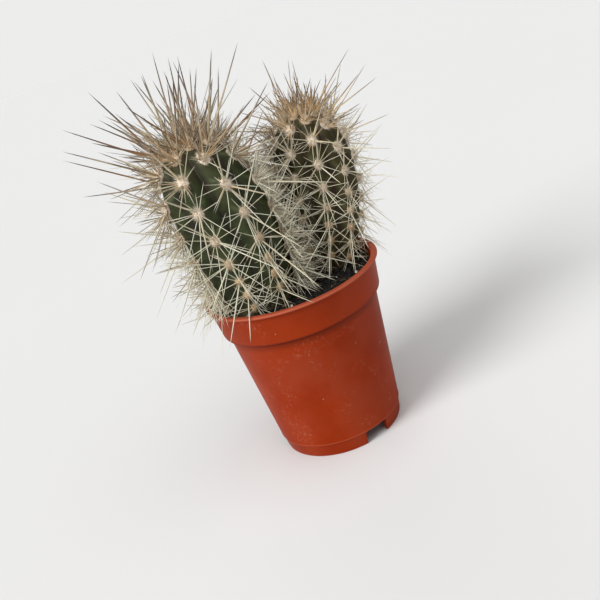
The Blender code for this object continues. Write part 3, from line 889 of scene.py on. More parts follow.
@dataclass
class Soil:
    """The potting mix: a plug of peat with crumbs, perlite and bark fibres on its surface."""

    pot: Pot
    stems: tuple["Stem", ...]
    level: float = 50.3 * MM
    swell: float = 0.35 * MM
    fit: float = 0.3 * MM
    relief: float = 0.55 * MM
    rings: int = 34
    sides: int = 120
    crumbs: int = 2600
    chips: int = 46
    fibres: int = 120
    seed: int = 5

    BANK_WIDTH = 1.6 * MM
    ROUGHNESS_SCALE = 420.0
    LUMP_MARGIN, FIBRE_MARGIN, STEM_ALLOWANCE = 0.9 * MM, 2.2 * MM, 0.5 * MM
    CRUMB_SIZES, CHIP_SIZES = (0.16 * MM, 0.95 * MM), (0.2 * MM, 0.75 * MM)
    FIBRE_LENGTHS, FIBRE_RADII, FIBRE_RISE = (2.0, 5.5), (0.06, 0.16), 0.25 * MM

    def height(self, x: Numbers | float, y: Numbers | float) -> Numbers | float:
        """Give the smooth height of the surface at places along X and Y, as the CAD has it."""
        broad = np.sin(310.0 * x + 1.0) * np.cos(270.0 * y - 0.6)
        return self.level + self.swell * (broad + 0.6 * np.sin(520.0 * (x - y)))

    def banked(self, x: float, y: float) -> float:
        """Give the height of the crumbly surface, which banks up a little against the stems.

        Args:
            x: Place along X.
            y: Place along Y.

        Returns:
            The height there.
        """
        rough = noise.fractal(Vector((x, y, 0.0)) * self.ROUGHNESS_SCALE, 1.0, 2.0, 4)
        bank = sum(math.exp(-max(0.0, stem.away(x, y, self.level)) / self.BANK_WIDTH) for stem in self.stems)
        return float(self.height(x, y)) + self.relief * (rough + 0.9 * bank)

    def plug(self) -> None:
        """Build the plug and cut the holes that the roots stand in."""
        pot, fit, edge = self.pot, self.fit, self.pot.edge
        radius, foot = pot.bore(self.level) - fit, pot.floor + pot.wall + fit
        step, shelf = pot.collar_foot, pot.collar_foot + pot.wall
        outline = [
            *((radius * i / self.rings, self.level) for i in range(self.rings + 1)),
            (pot.bore(shelf) - fit, shelf + fit),
            (pot.bore(step) - fit, step + fit),
            (pot.bore(foot) - fit, foot + 5 * edge),
            (pot.bore(foot) - fit - 5 * edge, foot),
            (0.0, foot),
        ]
        bm = turned(outline, self.sides)
        for vertex in bm.verts:
            if vertex.co.z > self.level - edge:
                rim = min(1.0, (radius - vertex.co.xy.length) / MM)
                smooth = float(self.height(vertex.co.x, vertex.co.y))
                vertex.co.z = smooth + rim * (self.banked(vertex.co.x, vertex.co.y) - smooth)
        mesh = cut_away(mesh_from(bm, "peat"), [stem.socket(self.fit) for stem in self.stems])
        piece = settle("soil_plug", mesh, PEAT.material())
        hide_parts("soil")

    def spots(self, rng: random.Random, count: int, margin: float) -> list[Vector]:
        """Pick places on the surface that are clear of the stems and the wall.

        Args:
            rng: The source of chance.
            count: How many places.
            margin: How far from stems and wall.

        Returns:
            The places.
        """
        reach = self.pot.bore(self.level) - margin
        found = []
        while len(found) < count:
            x, y = rng.uniform(-reach, reach), rng.uniform(-reach, reach)
            clear = all(stem.away(x, y, self.level) > margin - self.STEM_ALLOWANCE for stem in self.stems)
            if math.hypot(x, y) < reach and clear:
                found.append(Vector((x, y, self.banked(x, y))))
        return found

    def lumps(self, name: str, finish: EarthFinish, count: int, sizes: Span, cut: Cut, detail: int) -> None:
        """Strew lumps of one kind over the surface.

        Args:
            name: The piece's name.
            finish: What they are made of.
            count: How many.
            sizes: Smallest and largest radius.
            cut: How uneven they are.
            detail: Subdivisions of each lump.
        """
        rng = random.Random(self.seed + count)
        bm = bmesh.new()
        bmesh.ops.create_icosphere(bm, subdivisions=detail, radius=1.0)
        pattern = Pattern(bm)
        copies = []
        for spot in self.spots(rng, count, self.LUMP_MARGIN):
            size = sizes[0] + (sizes[1] - sizes[0]) * rng.random() ** 3
            spin, tip = rng.uniform(0, math.tau), rng.uniform(0, 3.0)
            turn = Matrix.Rotation(spin, 3, "Z") @ Matrix.Rotation(tip, 3, "X")
            squash = np.array([1.0, rng.uniform(0.6, 1.0), rng.uniform(0.45, 0.9)])
            uneven = np.array([1.0 + rng.uniform(-cut.value, cut.value) for _ in pattern.corners])
            shape = pattern.corners * squash * uneven[:, None] * size
            copies.append(shape @ np.array(turn).T + np.array(spot) + (0.0, 0.0, size * 0.22))
        piece = settle(name, pattern.repeat(name, np.array(copies)), finish.material())

    def twigs(self) -> None:
        """Strew bent bark fibres over the surface."""
        rng = random.Random(self.seed)
        pattern = spike(4, (0.3, 0.7), (1.0, 0.9, 0.7))
        x, y, z = pattern.corners.T
        copies = []
        for spot in self.spots(rng, self.fibres, self.FIBRE_MARGIN):
            length, radius = rng.uniform(*self.FIBRE_LENGTHS) * MM, rng.uniform(*self.FIBRE_RADII) * MM
            turn, rise, bend = rng.uniform(0, math.tau), rng.uniform(-0.05, 0.35), rng.uniform(-0.3, 0.3)
            way = np.array((math.cos(turn), math.sin(turn), rise))
            side = np.array((-math.sin(turn), math.cos(turn), 0.0))
            line = np.array(spot) + (0.0, 0.0, self.FIBRE_RISE) + np.outer((z - 0.5) * length, way)
            line += np.outer(bend * z * (1.0 - z) * 2.0 * length, side)
            copies.append(line + np.outer(x * radius, side) + np.outer(y * radius, (0.0, 0.0, 1.0)))
        piece = settle("bark_fibres", pattern.repeat("bark_fibres", np.array(copies)), BARK.material())

    def build(self) -> None:
        """Build the plug and all that lies on it."""
        self.plug()
        self.lumps("peat_crumbs", PEAT, self.crumbs, self.CRUMB_SIZES, Cut.RAGGED, 1)
        self.lumps("perlite_grains", PERLITE, self.chips, self.CHIP_SIZES, Cut.BLUNT, 2)
        self.twigs()


@dataclass(frozen=True)
class Areole:
    """A felt pad on a rib crest. Its share is 0 at the soil and 1 at the crown."""

    place: Vector
    out: Vector
    up: Vector
    share: float
    radius: float
    seed: int

    @property
    def across(self) -> Vector:
        """Direction along the skin, square to up."""
        return self.up.cross(self.out)

    @property
    def young(self) -> float:
        """How far it belongs to the crown, from 0 to 1."""
        return blend(self.share, 0.6, 0.95)

    @property
    def old(self) -> float:
        """How far it belongs to the foot, from 0 to 1."""
        return 1.0 - blend(self.share, 0.0, 0.5)

    @property
    def sheltered(self) -> float:
        """How far it is turned away from the weathered front, from 0 to 1."""
        return blend(max(self.out.y, -self.out.x), 0.45, 0.9)


@dataclass(frozen=True)
class Habit:
    """How spines of one kind grow: angles in degrees, lengths and radii in millimetres.

    Each is turned round its pad by start, by step for every one before it, and by a chance
    angle. Where crouch is over 1, most of them lie low. The young and old values are added at
    the crown and taken off at the foot.
    """

    start: float
    step: float
    turns: Span
    lifts: Span
    lengths: Span
    radius: float
    crouch: float = 1.0
    young_lift: float = 0.0
    young_length: float = 0.0
    old_length: float = 0.0
    young_radius: float = 0.0
    old_radius: float = 0.0


HABITS = {
    Kind.CENTRAL: Habit(
        start=0.0, step=140.0, turns=(-55.0, 55.0), lifts=(38.0, 62.0), lengths=(13.5, 23.5), radius=0.26,
        young_lift=14.0, young_length=4.5, old_length=3.5, young_radius=0.03, old_radius=0.05,
    ),
    Kind.RADIAL: Habit(
        start=180.0, step=360.0 * 0.618034, turns=(-12.0, 12.0), lifts=(16.0, 32.0), lengths=(10.5, 14.0),
        radius=0.155, young_lift=24.0, young_length=3.0, old_length=2.5, young_radius=0.04, old_radius=0.03,
    ),
    Kind.SHORT: Habit(
        start=0.0, step=0.0, turns=(0.0, 360.0), lifts=(28.0, 80.0), lengths=(6.5, 13.5), radius=0.2,
        young_radius=0.04,
    ),
    Kind.BRISTLE: Habit(
        start=0.0, step=0.0, turns=(0.0, 360.0), lifts=(8.0, 82.0), lengths=(5.0, 11.5), radius=0.18,
        crouch=1.8,
    ),
}


@dataclass(frozen=True)
class Spine:
    """One spine as its areole would grow it in free space."""

    areole: Areole
    kind: Kind
    lift: float
    turn: float
    length: float
    radius: float
    tone: float = 0.0
    curl: float = 0.0


@dataclass
class Stem:
    """One grown stem: its outline, ribs, areoles, wool and spines."""

    name: str
    foot: Vector
    crown: Vector
    neighbour: Vector
    bow: float
    radius: float
    waist: float
    neck: float
    ribs: int
    first_rib: float
    twist: float
    rib_depth: float
    first_pads: Span
    pad_arcs: tuple[float, ...]
    pad_steps: tuple[float, ...]
    pad_radius: float
    spine_scale: float
    spine_width: float
    crown_growth: float
    crown_lengths: Span
    tan_from: float
    extra_radials: int
    short_length: float
    fuzz: int
    seed: int
    skin: SkinFinish
    spines: SpineFinish

    DOME_START, DOME_POWER = 0.6, 2.5
    ROOT_LENGTH, ROOT_POWER = 26.0 * MM, 1.3
    RIB_RISE = 7.0 * MM
    LOWEST_PAD, PAD_STAND, PAD_MARGIN = 2.2 * MM, 0.55 * MM, 0.4 * MM
    LINE_STEPS = 600
    SKIN_COLUMNS, SKIN_ROWS = 22, 170
    SOCKET_COLUMNS, SOCKET_ROWS = 48, 40
    MOUND_WIDTH, MOUND_HEIGHT = 2.9 * MM, 0.62 * MM
    NOTCH_RISE, NOTCH_WIDTH, NOTCH_LENGTH, NOTCH_REACH = 2.3 * MM, 0.45 * MM, 2.6 * MM, 6 * MM
    CHEVRON_START, CHEVRON_WIDTH, CHEVRON_REACH, CHEVRON_FADE = 0.3 * MM, 0.6 * MM, 5.6 * MM, 2.5 * MM
    RING_WIDTH = 0.6 * MM
    CREST_DROP, SKIN_ROUGHNESS, SKIN_WAVES = 0.30 * MM, 0.12 * MM, 260.0
    FELT_SHAPE, FELT_HEIGHT, FELT_SPREAD = (1.18, 1.42), 1.2 * MM, (0.8, 0.16)
    WOOL_COUNT, WOOL_LENGTH, WOOL_RADII = (130, 110), (0.8, 0.45), (0.04, 0.07)
    # Shares of the stem from which a pad has more centrals, a fifth spine and short spines.
    CENTRALS_FROM, MORE_CENTRALS_FROM, FIFTH_FROM, SHORT_FROM = (0.55, 0.85), (0.3, 0.75), 0.28, (0.66, 0.9)
    SHORT_COUNT, LEAST_BRISTLES, SHELTERED_BRISTLES, CROWN_THINNING = 6, 2, 20, 0.4
    CROWN_STOUTNESS, RADIAL_UPWARD_TRIM = 0.18, 0.14
    # The spines that only the picture needs are turned, shortened, thinned and laid lower.
    EXTRA_TURNS, EXTRA_LENGTHS, EXTRA_THINNING = (-14.0, 14.0), (0.5, 1.15), 0.82
    EXTRA_LOWERING, EXTRA_CROWN_TRIM, EXTRA_UPWARD_TRIM = 4.0, 0.42, 0.25
    THICKNESSES, TONES, PAD_TONE, CURL = (0.85, 1.15), (0.0, 0.55), 0.6, 0.035
    SPINE_ROOT = 0.4 * MM

    def __post_init__(self) -> None:
        """Work out the stem's frame."""
        turn = Vector((0.0, 0.0, 1.0)).rotation_difference(self.crown - self.foot)
        self.length = (self.crown - self.foot).length
        self.frame = Matrix.Translation(self.foot) @ turn.to_matrix().to_4x4()
        self.inverse = np.array(self.frame.inverted())
        self.areoles: list[Areole] = []

    def share(self, height: Numbers | float) -> Numbers | float:
        """Give the share of the axis that lies below a height."""
        return np.clip(np.asarray(height) / self.length, 0.0, 1.0)

    def crest(self, height: Numbers | float) -> Numbers | float:
        """Give the radius over the rib crests.

        Args:
            height: Height or heights along the axis, above the foot.

        Returns:
            The radius at each height.
        """
        share = self.share(height)
        swell = np.sin(np.minimum(share / self.DOME_START, 1.0) * math.pi / 2)
        dome = np.clip((share - self.DOME_START) / (1.0 - self.DOME_START), 0.0, 1.0)
        root = np.clip((self.neck - height) / self.ROOT_LENGTH, 0.0, 1.0)
        ends = (1.0 - dome ** self.DOME_POWER) ** (1.0 / self.DOME_POWER) * (1.0 - root ** self.ROOT_POWER)
        return self.radius * (self.waist + (1.0 - self.waist) * swell) * ends

    def heading(self, height: Numbers | float) -> Numbers | float:
        """Give the angle of the first rib's crest at a height, in radians."""
        return math.radians(self.first_rib) + math.radians(self.twist) * self.share(height)

    def valley(self, angle: Numbers, height: Numbers) -> Numbers:
        """Give 0 on a rib's crest and 1 in the valley beside it, for angles and heights."""
        return 1.0 - np.abs(np.cos((angle - self.heading(height)) * self.ribs / 2))

    def surface(self, angle: Numbers, height: Numbers) -> Numbers:
        """Give the radius of the ribbed body, whose ribs fade out at the soil."""
        fade = np.clip((height - self.neck) / self.RIB_RISE, 0.0, 1.0)
        return self.crest(height) * (1.0 - self.rib_depth * fade * self.valley(angle, height))

    def sway(self, height: Numbers | float) -> Numbers | float:
        """Give how far the axis bows sideways at a height."""
        share = self.share(height)
        return self.bow * 4.0 * share * (1.0 - share)

    def local(self, points: Points) -> tuple[Numbers, Numbers, Numbers]:
        """Give points as radius, angle and height about the axis.

        Args:
            points: Points in the CAD's frame.

        Returns:
            Radii, angles and heights.
        """
        straight = points @ self.inverse[:3, :3].T + self.inverse[:3, 3]
        height = straight[..., 2]
        x, y = straight[..., 0] - self.sway(height), straight[..., 1]
        return np.hypot(x, y), np.arctan2(x, -y), height

    def gap(self, points: Points) -> Numbers:
        """Give how far points are outside the ribbed body, about its axis.

        Args:
            points: Points in the CAD's frame.

        Returns:
            The distances, which are negative inside.
        """
        radius, angle, height = self.local(points)
        surface = self.surface(angle, height)
        beyond = np.maximum(height - self.length, 0.0)
        inside = (radius < surface) & (beyond <= 0.0)
        return np.hypot(np.maximum(radius - surface, 0.0), beyond) - np.where(inside, 1.0, 0.0)

    def away(self, x: float, y: float, z: float) -> float:
        """Give how far a point at soil level is outside the stem, or less than 0 inside it."""
        radius, angle, height = self.local(np.array((x, y, z)))
        return float(radius - self.surface(angle, height))

    def line(self, low: float) -> tuple[Numbers, Numbers, Numbers]:
        """Follow a rib crest from the crown down.

        Args:
            low: The height to stop at.

        Returns:
            Heights, radii and arc lengths.
        """
        heights = np.linspace(self.length, low, self.LINE_STEPS)
        radii = self.crest(heights)
        arcs = np.concatenate(([0.0], np.cumsum(np.hypot(np.diff(heights), np.diff(radii)))))
        return heights, radii, arcs

    def find_areoles(self, pot: Pot) -> None:
        """Set areoles along every rib crest, closer together near the crown and the soil.

        Args:
            pot: The pot, whose wall some of the lowest would press against.
        """
        heights, radii, arcs = self.line(self.neck + self.LOWEST_PAD)
        falls, spreads = np.gradient(heights, arcs), np.gradient(radii, arcs)
        axis, turn = Vector((0.0, 0.0, 1.0)), self.frame.to_3x3()
        for rib in range(self.ribs):
            along, row = self.first_pads[rib % 2], 0
            while along < arcs[-1]:
                height, radius, fall, spread = (
                    float(np.interp(along, arcs, values)) for values in (heights, radii, falls, spreads)
                )
                angle = float(self.heading(height)) + rib * math.tau / self.ribs
                side = Vector((math.sin(angle), -math.cos(angle), 0.0))
                bow = Vector((float(self.sway(height)), 0.0, 0.0))
                share = (height - self.neck) / (self.length - self.neck)
                crowding = min(1.0, 0.5 + 0.5 * along / self.pad_arcs[1])
                place = self.frame @ (bow + side * radius + axis * height)
                size = self.pad_radius * (0.72 + 0.28 * share) * crowding
                reach = place.xy.length + self.PAD_STAND + self.PAD_MARGIN
                if place.z > pot.height + size + self.PAD_MARGIN or reach < pot.bore(place.z):
                    self.areoles.append(Areole(
                        place=place,
                        out=(turn @ (side * -fall + axis * spread)).normalized(),
                        up=(turn @ (side * -spread - axis * fall)).normalized(),
                        share=share,
                        radius=size,
                        seed=self.seed * 10000 + rib * 100 + row,
                    ))
                along += float(np.interp(along, self.pad_arcs, self.pad_steps))
                row += 1

    def drawn_sphere(self, columns: int, rows: int, grow: float = 0.0) -> tuple[bmesh.types.BMesh, Numbers]:
        """Draw a sphere out along the axis.

        Args:
            columns: Faces round.
            rows: Faces from pole to pole.
            grow: How far a plain round shape stands outside the crests, or 0 for the ribbed one.

        Returns:
            The bmesh, and radius, angle and height of each vertex.
        """
        heights, _, arcs = self.line(self.neck - self.ROOT_LENGTH)
        bm = bmesh.new()
        bmesh.ops.create_uvsphere(bm, u_segments=columns, v_segments=rows, radius=1.0)
        ball = np.array([vertex.co for vertex in bm.verts])
        share = np.arccos(np.clip(ball[:, 2], -1.0, 1.0)) / math.pi
        height = np.interp(share * arcs[-1], arcs, heights)
        angle = np.arctan2(ball[:, 0], -ball[:, 1]) + self.heading(height)
        radius = self.crest(height) + grow if grow else self.surface(angle, height)
        radius[np.hypot(ball[:, 0], ball[:, 1]) < 0.0001] = 0.0
        bmesh.ops.recalc_face_normals(bm, faces=bm.faces)
        return bm, np.stack((radius, angle, height), axis=1)

    def world(self, rings: Numbers) -> Points:
        """Turn radii, angles and heights into points in the CAD's frame.

        Args:
            rings: Radius, angle and height of each point.

        Returns:
            The points.
        """
        radius, angle, height = rings.T
        x, y = self.sway(height) + radius * np.sin(angle), -radius * np.cos(angle)
        matrix = np.array(self.frame)
        return np.stack((x, y, height), axis=1) @ matrix[:3, :3].T + matrix[:3, 3]

    def socket(self, fit: float) -> Mesh:
        """Make the tool that cuts the stem's hole in the soil.

        Args:
            fit: The gap round the root.

        Returns:
            A closed mesh a little larger than the root.
        """
        bm, rings = self.drawn_sphere(self.SOCKET_COLUMNS, self.SOCKET_ROWS, fit)
        for vertex, point in zip(bm.verts, self.world(rings) - (0.0, 0.0, fit)):
            vertex.co = point
        return mesh_from(bm, "socket")

    def marks(self, areole: Areole, points: Points) -> tuple[Numbers, Numbers, Numbers, Numbers]:
        """Measure what one areole does to the skin round it.

        Args:
            areole: The felt pad.
            points: Points of the skin.

        Returns:
            The low mound, the notch above it, the pale chevron and the corky ring, from 0 to 1.
        """
        away = points - np.array(areole.place)
        distance = np.linalg.norm(away, axis=1)
        rise, side = away @ np.array(areole.up), np.abs(away @ np.array(areole.across))
        scale = areole.radius / self.pad_radius
        mound = bell(distance, self.MOUND_WIDTH * scale)
        notch = 0.42 * bell(rise - 0.55 * side - self.NOTCH_RISE * scale, self.NOTCH_WIDTH)
        notch = notch * bell(side, self.NOTCH_LENGTH) * (distance < self.NOTCH_REACH)
        stripe = bell(side - 0.75 * np.maximum(rise, 0.0) - self.CHEVRON_START, self.CHEVRON_WIDTH)
        above = np.clip((rise + 0.5 * MM) / MM, 0.0, 1.0)
        near = np.clip((self.CHEVRON_REACH - distance) / self.CHEVRON_FADE, 0.0, 1.0)
        chevron = stripe * (above * near) * (0.35 + 0.65 * areole.share)
        return mound, notch, chevron, bell(distance - areole.radius, self.RING_WIDTH)

    def build_skin(self) -> None:
        """Build the ribbed body, with a low bump under each areole and a notch above it."""
        bm, rings = self.drawn_sphere(self.ribs * self.SKIN_COLUMNS, self.SKIN_ROWS)
        points = self.world(rings)
        valley = self.valley(rings[:, 1], rings[:, 2])
        share = (rings[:, 2] - self.neck) / (self.length - self.neck)
        swell, chevron, ring = (np.zeros(len(points)) for _ in range(3))
        for areole in self.areoles:
            mound, notch, stripe, round_pad = self.marks(areole, points)
            swell = np.maximum(swell, mound) - notch
            chevron, ring = np.maximum(chevron, stripe), np.maximum(ring, round_pad)
        above = np.clip((rings[:, 2] - self.neck) / (3 * MM), 0.0, 1.0) * (rings[:, 0] > 0.0)
        rough = np.array([noise.noise(Vector(point) * self.SKIN_WAVES) for point in points])
        drop = self.CREST_DROP * (1.0 - valley) * np.clip(rings[:, 0] / (6 * MM), 0.0, 1.0)
        rings[:, 0] += above * (self.MOUND_HEIGHT * swell - drop + self.SKIN_ROUGHNESS * rough)
        for vertex, point in zip(bm.verts, self.world(rings)):
            vertex.co = point
        mesh = mesh_from(bm, f"{self.name}_skin")
        store(mesh, valley=valley, share=share, chevron=chevron, ring=ring)
        piece = settle(f"{self.name}_skin", mesh, self.skin.material())
        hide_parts(self.name)

    def felt_size(self, areole: Areole) -> Numbers:
        """Give half the width and half the height of an areole's felt."""
        old, growth = self.FELT_SPREAD
        return np.array(self.FELT_SHAPE) * areole.radius * (old + growth * areole.young)

    def mound(self, areole: Areole, rng: np.random.Generator, pattern: Pattern) -> Points:
        """Give the corners of an areole's uneven mound of felt, along its own axes."""
        shape = pattern.corners * (1.0 + rng.uniform(-0.1, 0.1, (len(pattern.corners), 1)))
        return (shape * (*self.felt_size(areole), self.FELT_HEIGHT))[None]

    def wool(self, areole: Areole, rng: np.random.Generator, pattern: Pattern) -> Points:
        """Grow the loose hairs on an areole's mound.

        Args:
            areole: The felt pad.
            rng: The source of chance.
            pattern: The shape of a hair.

        Returns:
            The corners of every hair, along the areole's own axes.
        """
        (least, more), (short, growth) = self.WOOL_COUNT, self.WOOL_LENGTH
        count = int(least + more * areole.share)
        turn, far = rng.uniform(0, math.tau, count), np.sqrt(rng.uniform(0, 1.15, count))
        flat = np.stack((np.cos(turn) * far, np.sin(turn) * far), axis=1)
        stand = np.sqrt(np.maximum(0.0, 1.0 - np.minimum(far, 1.0) ** 2)) * self.FELT_HEIGHT
        root = np.column_stack((flat * self.felt_size(areole) * 0.92, stand * 0.9))
        lean = np.column_stack((flat * 0.9, np.full(count, 0.75))) + rng.normal(0, 0.4, (count, 3))
        lean[:, 2] = np.abs(lean[:, 2]) + 0.1
        way = unit(lean)
        side = unit(np.cross(way, rng.normal(0, 1, (count, 3))))
        long = rng.uniform(0.3, 1.0, (count, 1)) * areole.radius * (short + growth * areole.share)
        wide = rng.uniform(*self.WOOL_RADII, (count, 1)) * MM
        x, y, z = (pattern.corners[:, i][None, :, None] for i in range(3))
        across = (side * wide)[:, None] * x + (np.cross(way, side) * wide)[:, None] * y
        return root[:, None] + (way * long)[:, None] * z + across

    def build_felt(self) -> None:
        """Build the felt mounds of the areoles, and the loose wool on them."""
        bm = bmesh.new()
        bmesh.ops.create_uvsphere(bm, u_segments=10, v_segments=7, radius=1.0)
        patterns = {"felt": Pattern(bm), "wool": spike(3, (), (1.0,))}
        copies, shares, tones = ({name: [] for name in patterns} for _ in range(3))
        for areole in self.areoles:
            rng = np.random.default_rng(areole.seed)
            axes, middle = np.array((areole.across, areole.up, areole.out)), np.array(areole.place)
            for name, grow in (("felt", self.mound), ("wool", self.wool)):
                corners = grow(areole, rng, patterns[name])
                copies[name].append(corners @ axes + middle)
                shares[name].append(np.full(len(corners), areole.share))
                tones[name].append(rng.random(len(corners)))
        for name, pattern in patterns.items():
            mesh = pattern.repeat(f"{self.name}_{name}", np.concatenate(copies[name]))
            youth = np.clip(np.concatenate(shares[name]) * 2.2 - 0.55, 0.0, 1.65)
            store(mesh, youth=pattern.spread(youth), tone=pattern.spread(np.concatenate(tones[name])))
            settle(f"{self.name}_{name}", mesh, FELT.material())

    def plan(self, areole: Areole) -> tuple[list[Kind], int]:
        """Choose the kinds of spine that one areole grows.

        Args:
            areole: The felt pad.

        Returns:
            The kinds in order, and how many of them the CAD has too.
        """
        share, sheltered = areole.share, areole.sheltered
        centrals = 1 + sum(share > start for start in self.CENTRALS_FROM)
        first = 4 if share < self.FIFTH_FROM else 5
        radials = self.extra_radials * (1.0 - self.CROWN_THINNING * areole.young)
        shorts = self.SHORT_COUNT * max(blend(share, *self.SHORT_FROM), sheltered)
        fuzz = self.LEAST_BRISTLES + self.fuzz * self.facing(areole) + self.SHELTERED_BRISTLES * sheltered
        kinds = [Kind.CENTRAL] * centrals + [Kind.RADIAL] * (first - centrals)
        kinds += [Kind.CENTRAL] * sum(share > start for start in self.MORE_CENTRALS_FROM)
        kinds += [Kind.RADIAL] * round(radials) + [Kind.SHORT] * round(shorts) + [Kind.BRISTLE] * int(fuzz)
        return kinds, first

    def sprout(self, areole: Areole, kind: Kind, index: int, in_cad: bool, rng: random.Random) -> Spine:
        """Grow one spine.

        Args:
            areole: The felt pad.
            kind: What kind of spine it is.
            index: How many of its kind came before it.
            in_cad: Whether the CAD has it too.
            rng: The source of chance.

        Returns:
            The spine, before its tone and curl are known.
        """
        habit, young, old = HABITS[kind], areole.young, areole.old
        turn = habit.start + habit.step * index + rng.uniform(*habit.turns)
        low, high = habit.lifts
        lift = low + (high - low) * rng.random() ** habit.crouch + habit.young_lift * young
        growth = habit.young_length * young * self.crown_growth
        length = rng.uniform(*habit.lengths) + growth - habit.old_length * old
        radius = habit.radius + habit.young_radius * young - habit.old_radius * old
        width = self.spine_width
        if kind is Kind.CENTRAL:
            turn += 0.0 if areole.share > 0.5 else 180.0
            vigour = random.Random(areole.seed + 31 * index).random() ** 3
            least, most = self.crown_lengths
            length *= 1.0 + young * (least - 1.0 + (most - least) * vigour)
            width += self.CROWN_STOUTNESS * young * in_cad
        elif kind is Kind.RADIAL:
            length *= 1.0 - self.RADIAL_UPWARD_TRIM * math.cos(math.radians(turn))
        elif kind is Kind.SHORT:
            length *= self.short_length
        if kind in (Kind.CENTRAL, Kind.RADIAL) and not in_cad:
            turn += rng.uniform(*self.EXTRA_TURNS)
            length *= rng.uniform(*self.EXTRA_LENGTHS) * (1.0 - self.EXTRA_CROWN_TRIM * young)
            length *= 1.0 - self.EXTRA_UPWARD_TRIM * math.cos(math.radians(turn)) * (1.0 - young)
            radius *= self.EXTRA_THINNING
            lift -= self.EXTRA_LOWERING
        scale = self.spine_scale * MM
        return Spine(areole, kind, lift, turn, length * scale, radius * scale * width)

    def wishes(self, areole: Areole) -> list[Spine]:
        """Give the spines that one areole would grow in free space.

        Args:
            areole: The felt pad.

        Returns:
            The spines of the CAD first, and then those that only the picture needs.
        """
        rng = random.Random(areole.seed)
        kinds, first = self.plan(areole)
        grown, counts = [], {kind: 0 for kind in Kind}
        for order, kind in enumerate(kinds):
            grown.append(self.sprout(areole, kind, counts[kind], order < first, rng))
            counts[kind] += 1
        # Pads that face the other stem get paler spines. This is painted light that lifts the shade between
        # the stems, laid over a random tone.
        mood_and_light = rng.random() * (1.0 - 0.7 * self.facing(areole))
        return [
            replace(
                spine,
                radius=spine.radius * rng.uniform(*self.THICKNESSES),
                tone=min(1.0, self.PAD_TONE * mood_and_light + rng.uniform(*self.TONES)),
                curl=rng.gauss(0.0, self.CURL),
            )
            for spine in grown
        ]

    def youth(self, spine: Spine) -> float:
        """Give how far a spine is still amber to brown, from 0 to 1.

        Args:
            spine: The spine.

        Returns:
            Its share of the young colours.
        """
        share, sheltered = spine.areole.share, spine.areole.sheltered
        if spine.kind is Kind.SHORT:
            return max(blend(share, 0.55, 0.85), 0.7 * sheltered)
        if spine.kind is Kind.CENTRAL:
            return blend(share, self.tan_from, self.tan_from + 0.3)
        return max(0.7 * blend(share, 0.78, 1.0), 0.85 * sheltered * blend(share, 0.45, 0.8))

    def facing(self, areole: Areole) -> float:
        """Give how squarely an areole faces the other stem, from 0 to 1."""
        return blend(areole.out.dot(self.neighbour), 0.3, 0.8)

    def build_spines(self, thicket: "Thicket") -> None:
        """Build all the spines of the stem, and its bristles as a finer piece.

        Args:
            thicket: What they have to stay clear of.
        """
        wishes = [spine for areole in self.areoles for spine in self.wishes(areole)]
        strong = [spine for spine in wishes if spine.kind is not Kind.BRISTLE]
        fine = [spine for spine in wishes if spine.kind is Kind.BRISTLE]
        stout = spike(5, (0.06, 0.3, 0.62, 0.86), (1.12, 1.0, 0.92, 0.72, 0.42))
        self.build_spikes("spines", strong, thicket, stout, self.spines)
        self.build_spikes("bristles", fine, thicket, spike(3, (0.5,), (1.0, 0.7)), BRISTLES)

    def build_spikes(
        self, part: str, spines: list[Spine], thicket: "Thicket", pattern: Pattern, finish: SpineFinish,
    ) -> None:
        """Build spines of one pattern as one piece.

        Args:
            part: The last part of the piece's name.
            spines: The spines, as their areoles would grow them.
            thicket: What they have to stay clear of.
            pattern: The shape of each.
            finish: What they look like.
        """
        roots, ways, bends, lengths, kept = thicket.fit(self, spines)
        spines = [spines[i] for i in kept]
        radii = np.array([spine.radius for spine in spines])[:, None, None]
        side = unit(np.cross(ways, np.array([spine.areole.out + spine.areole.up * 0.3 for spine in spines])))
        other = np.cross(ways, side)
        x, y, z = (pattern.corners[:, i][None, :, None] for i in range(3))
        reach = z * lengths[:, None, None]
        copies = roots[:, None] + ways[:, None] * (reach - self.SPINE_ROOT * (1.0 - z))
        copies += bends[:, None] * reach * z
        copies += side[:, None] * x * radii + other[:, None] * y * radii
        name = f"{self.name}_{part}"
        mesh = pattern.repeat(name, copies)
        store(
            mesh,
            along=np.tile(pattern.corners[:, 2], len(spines)),
            youth=pattern.spread(np.array([self.youth(spine) for spine in spines])),
            tone=pattern.spread(np.array([spine.tone for spine in spines])),
        )
        settle(name, mesh, finish.material())


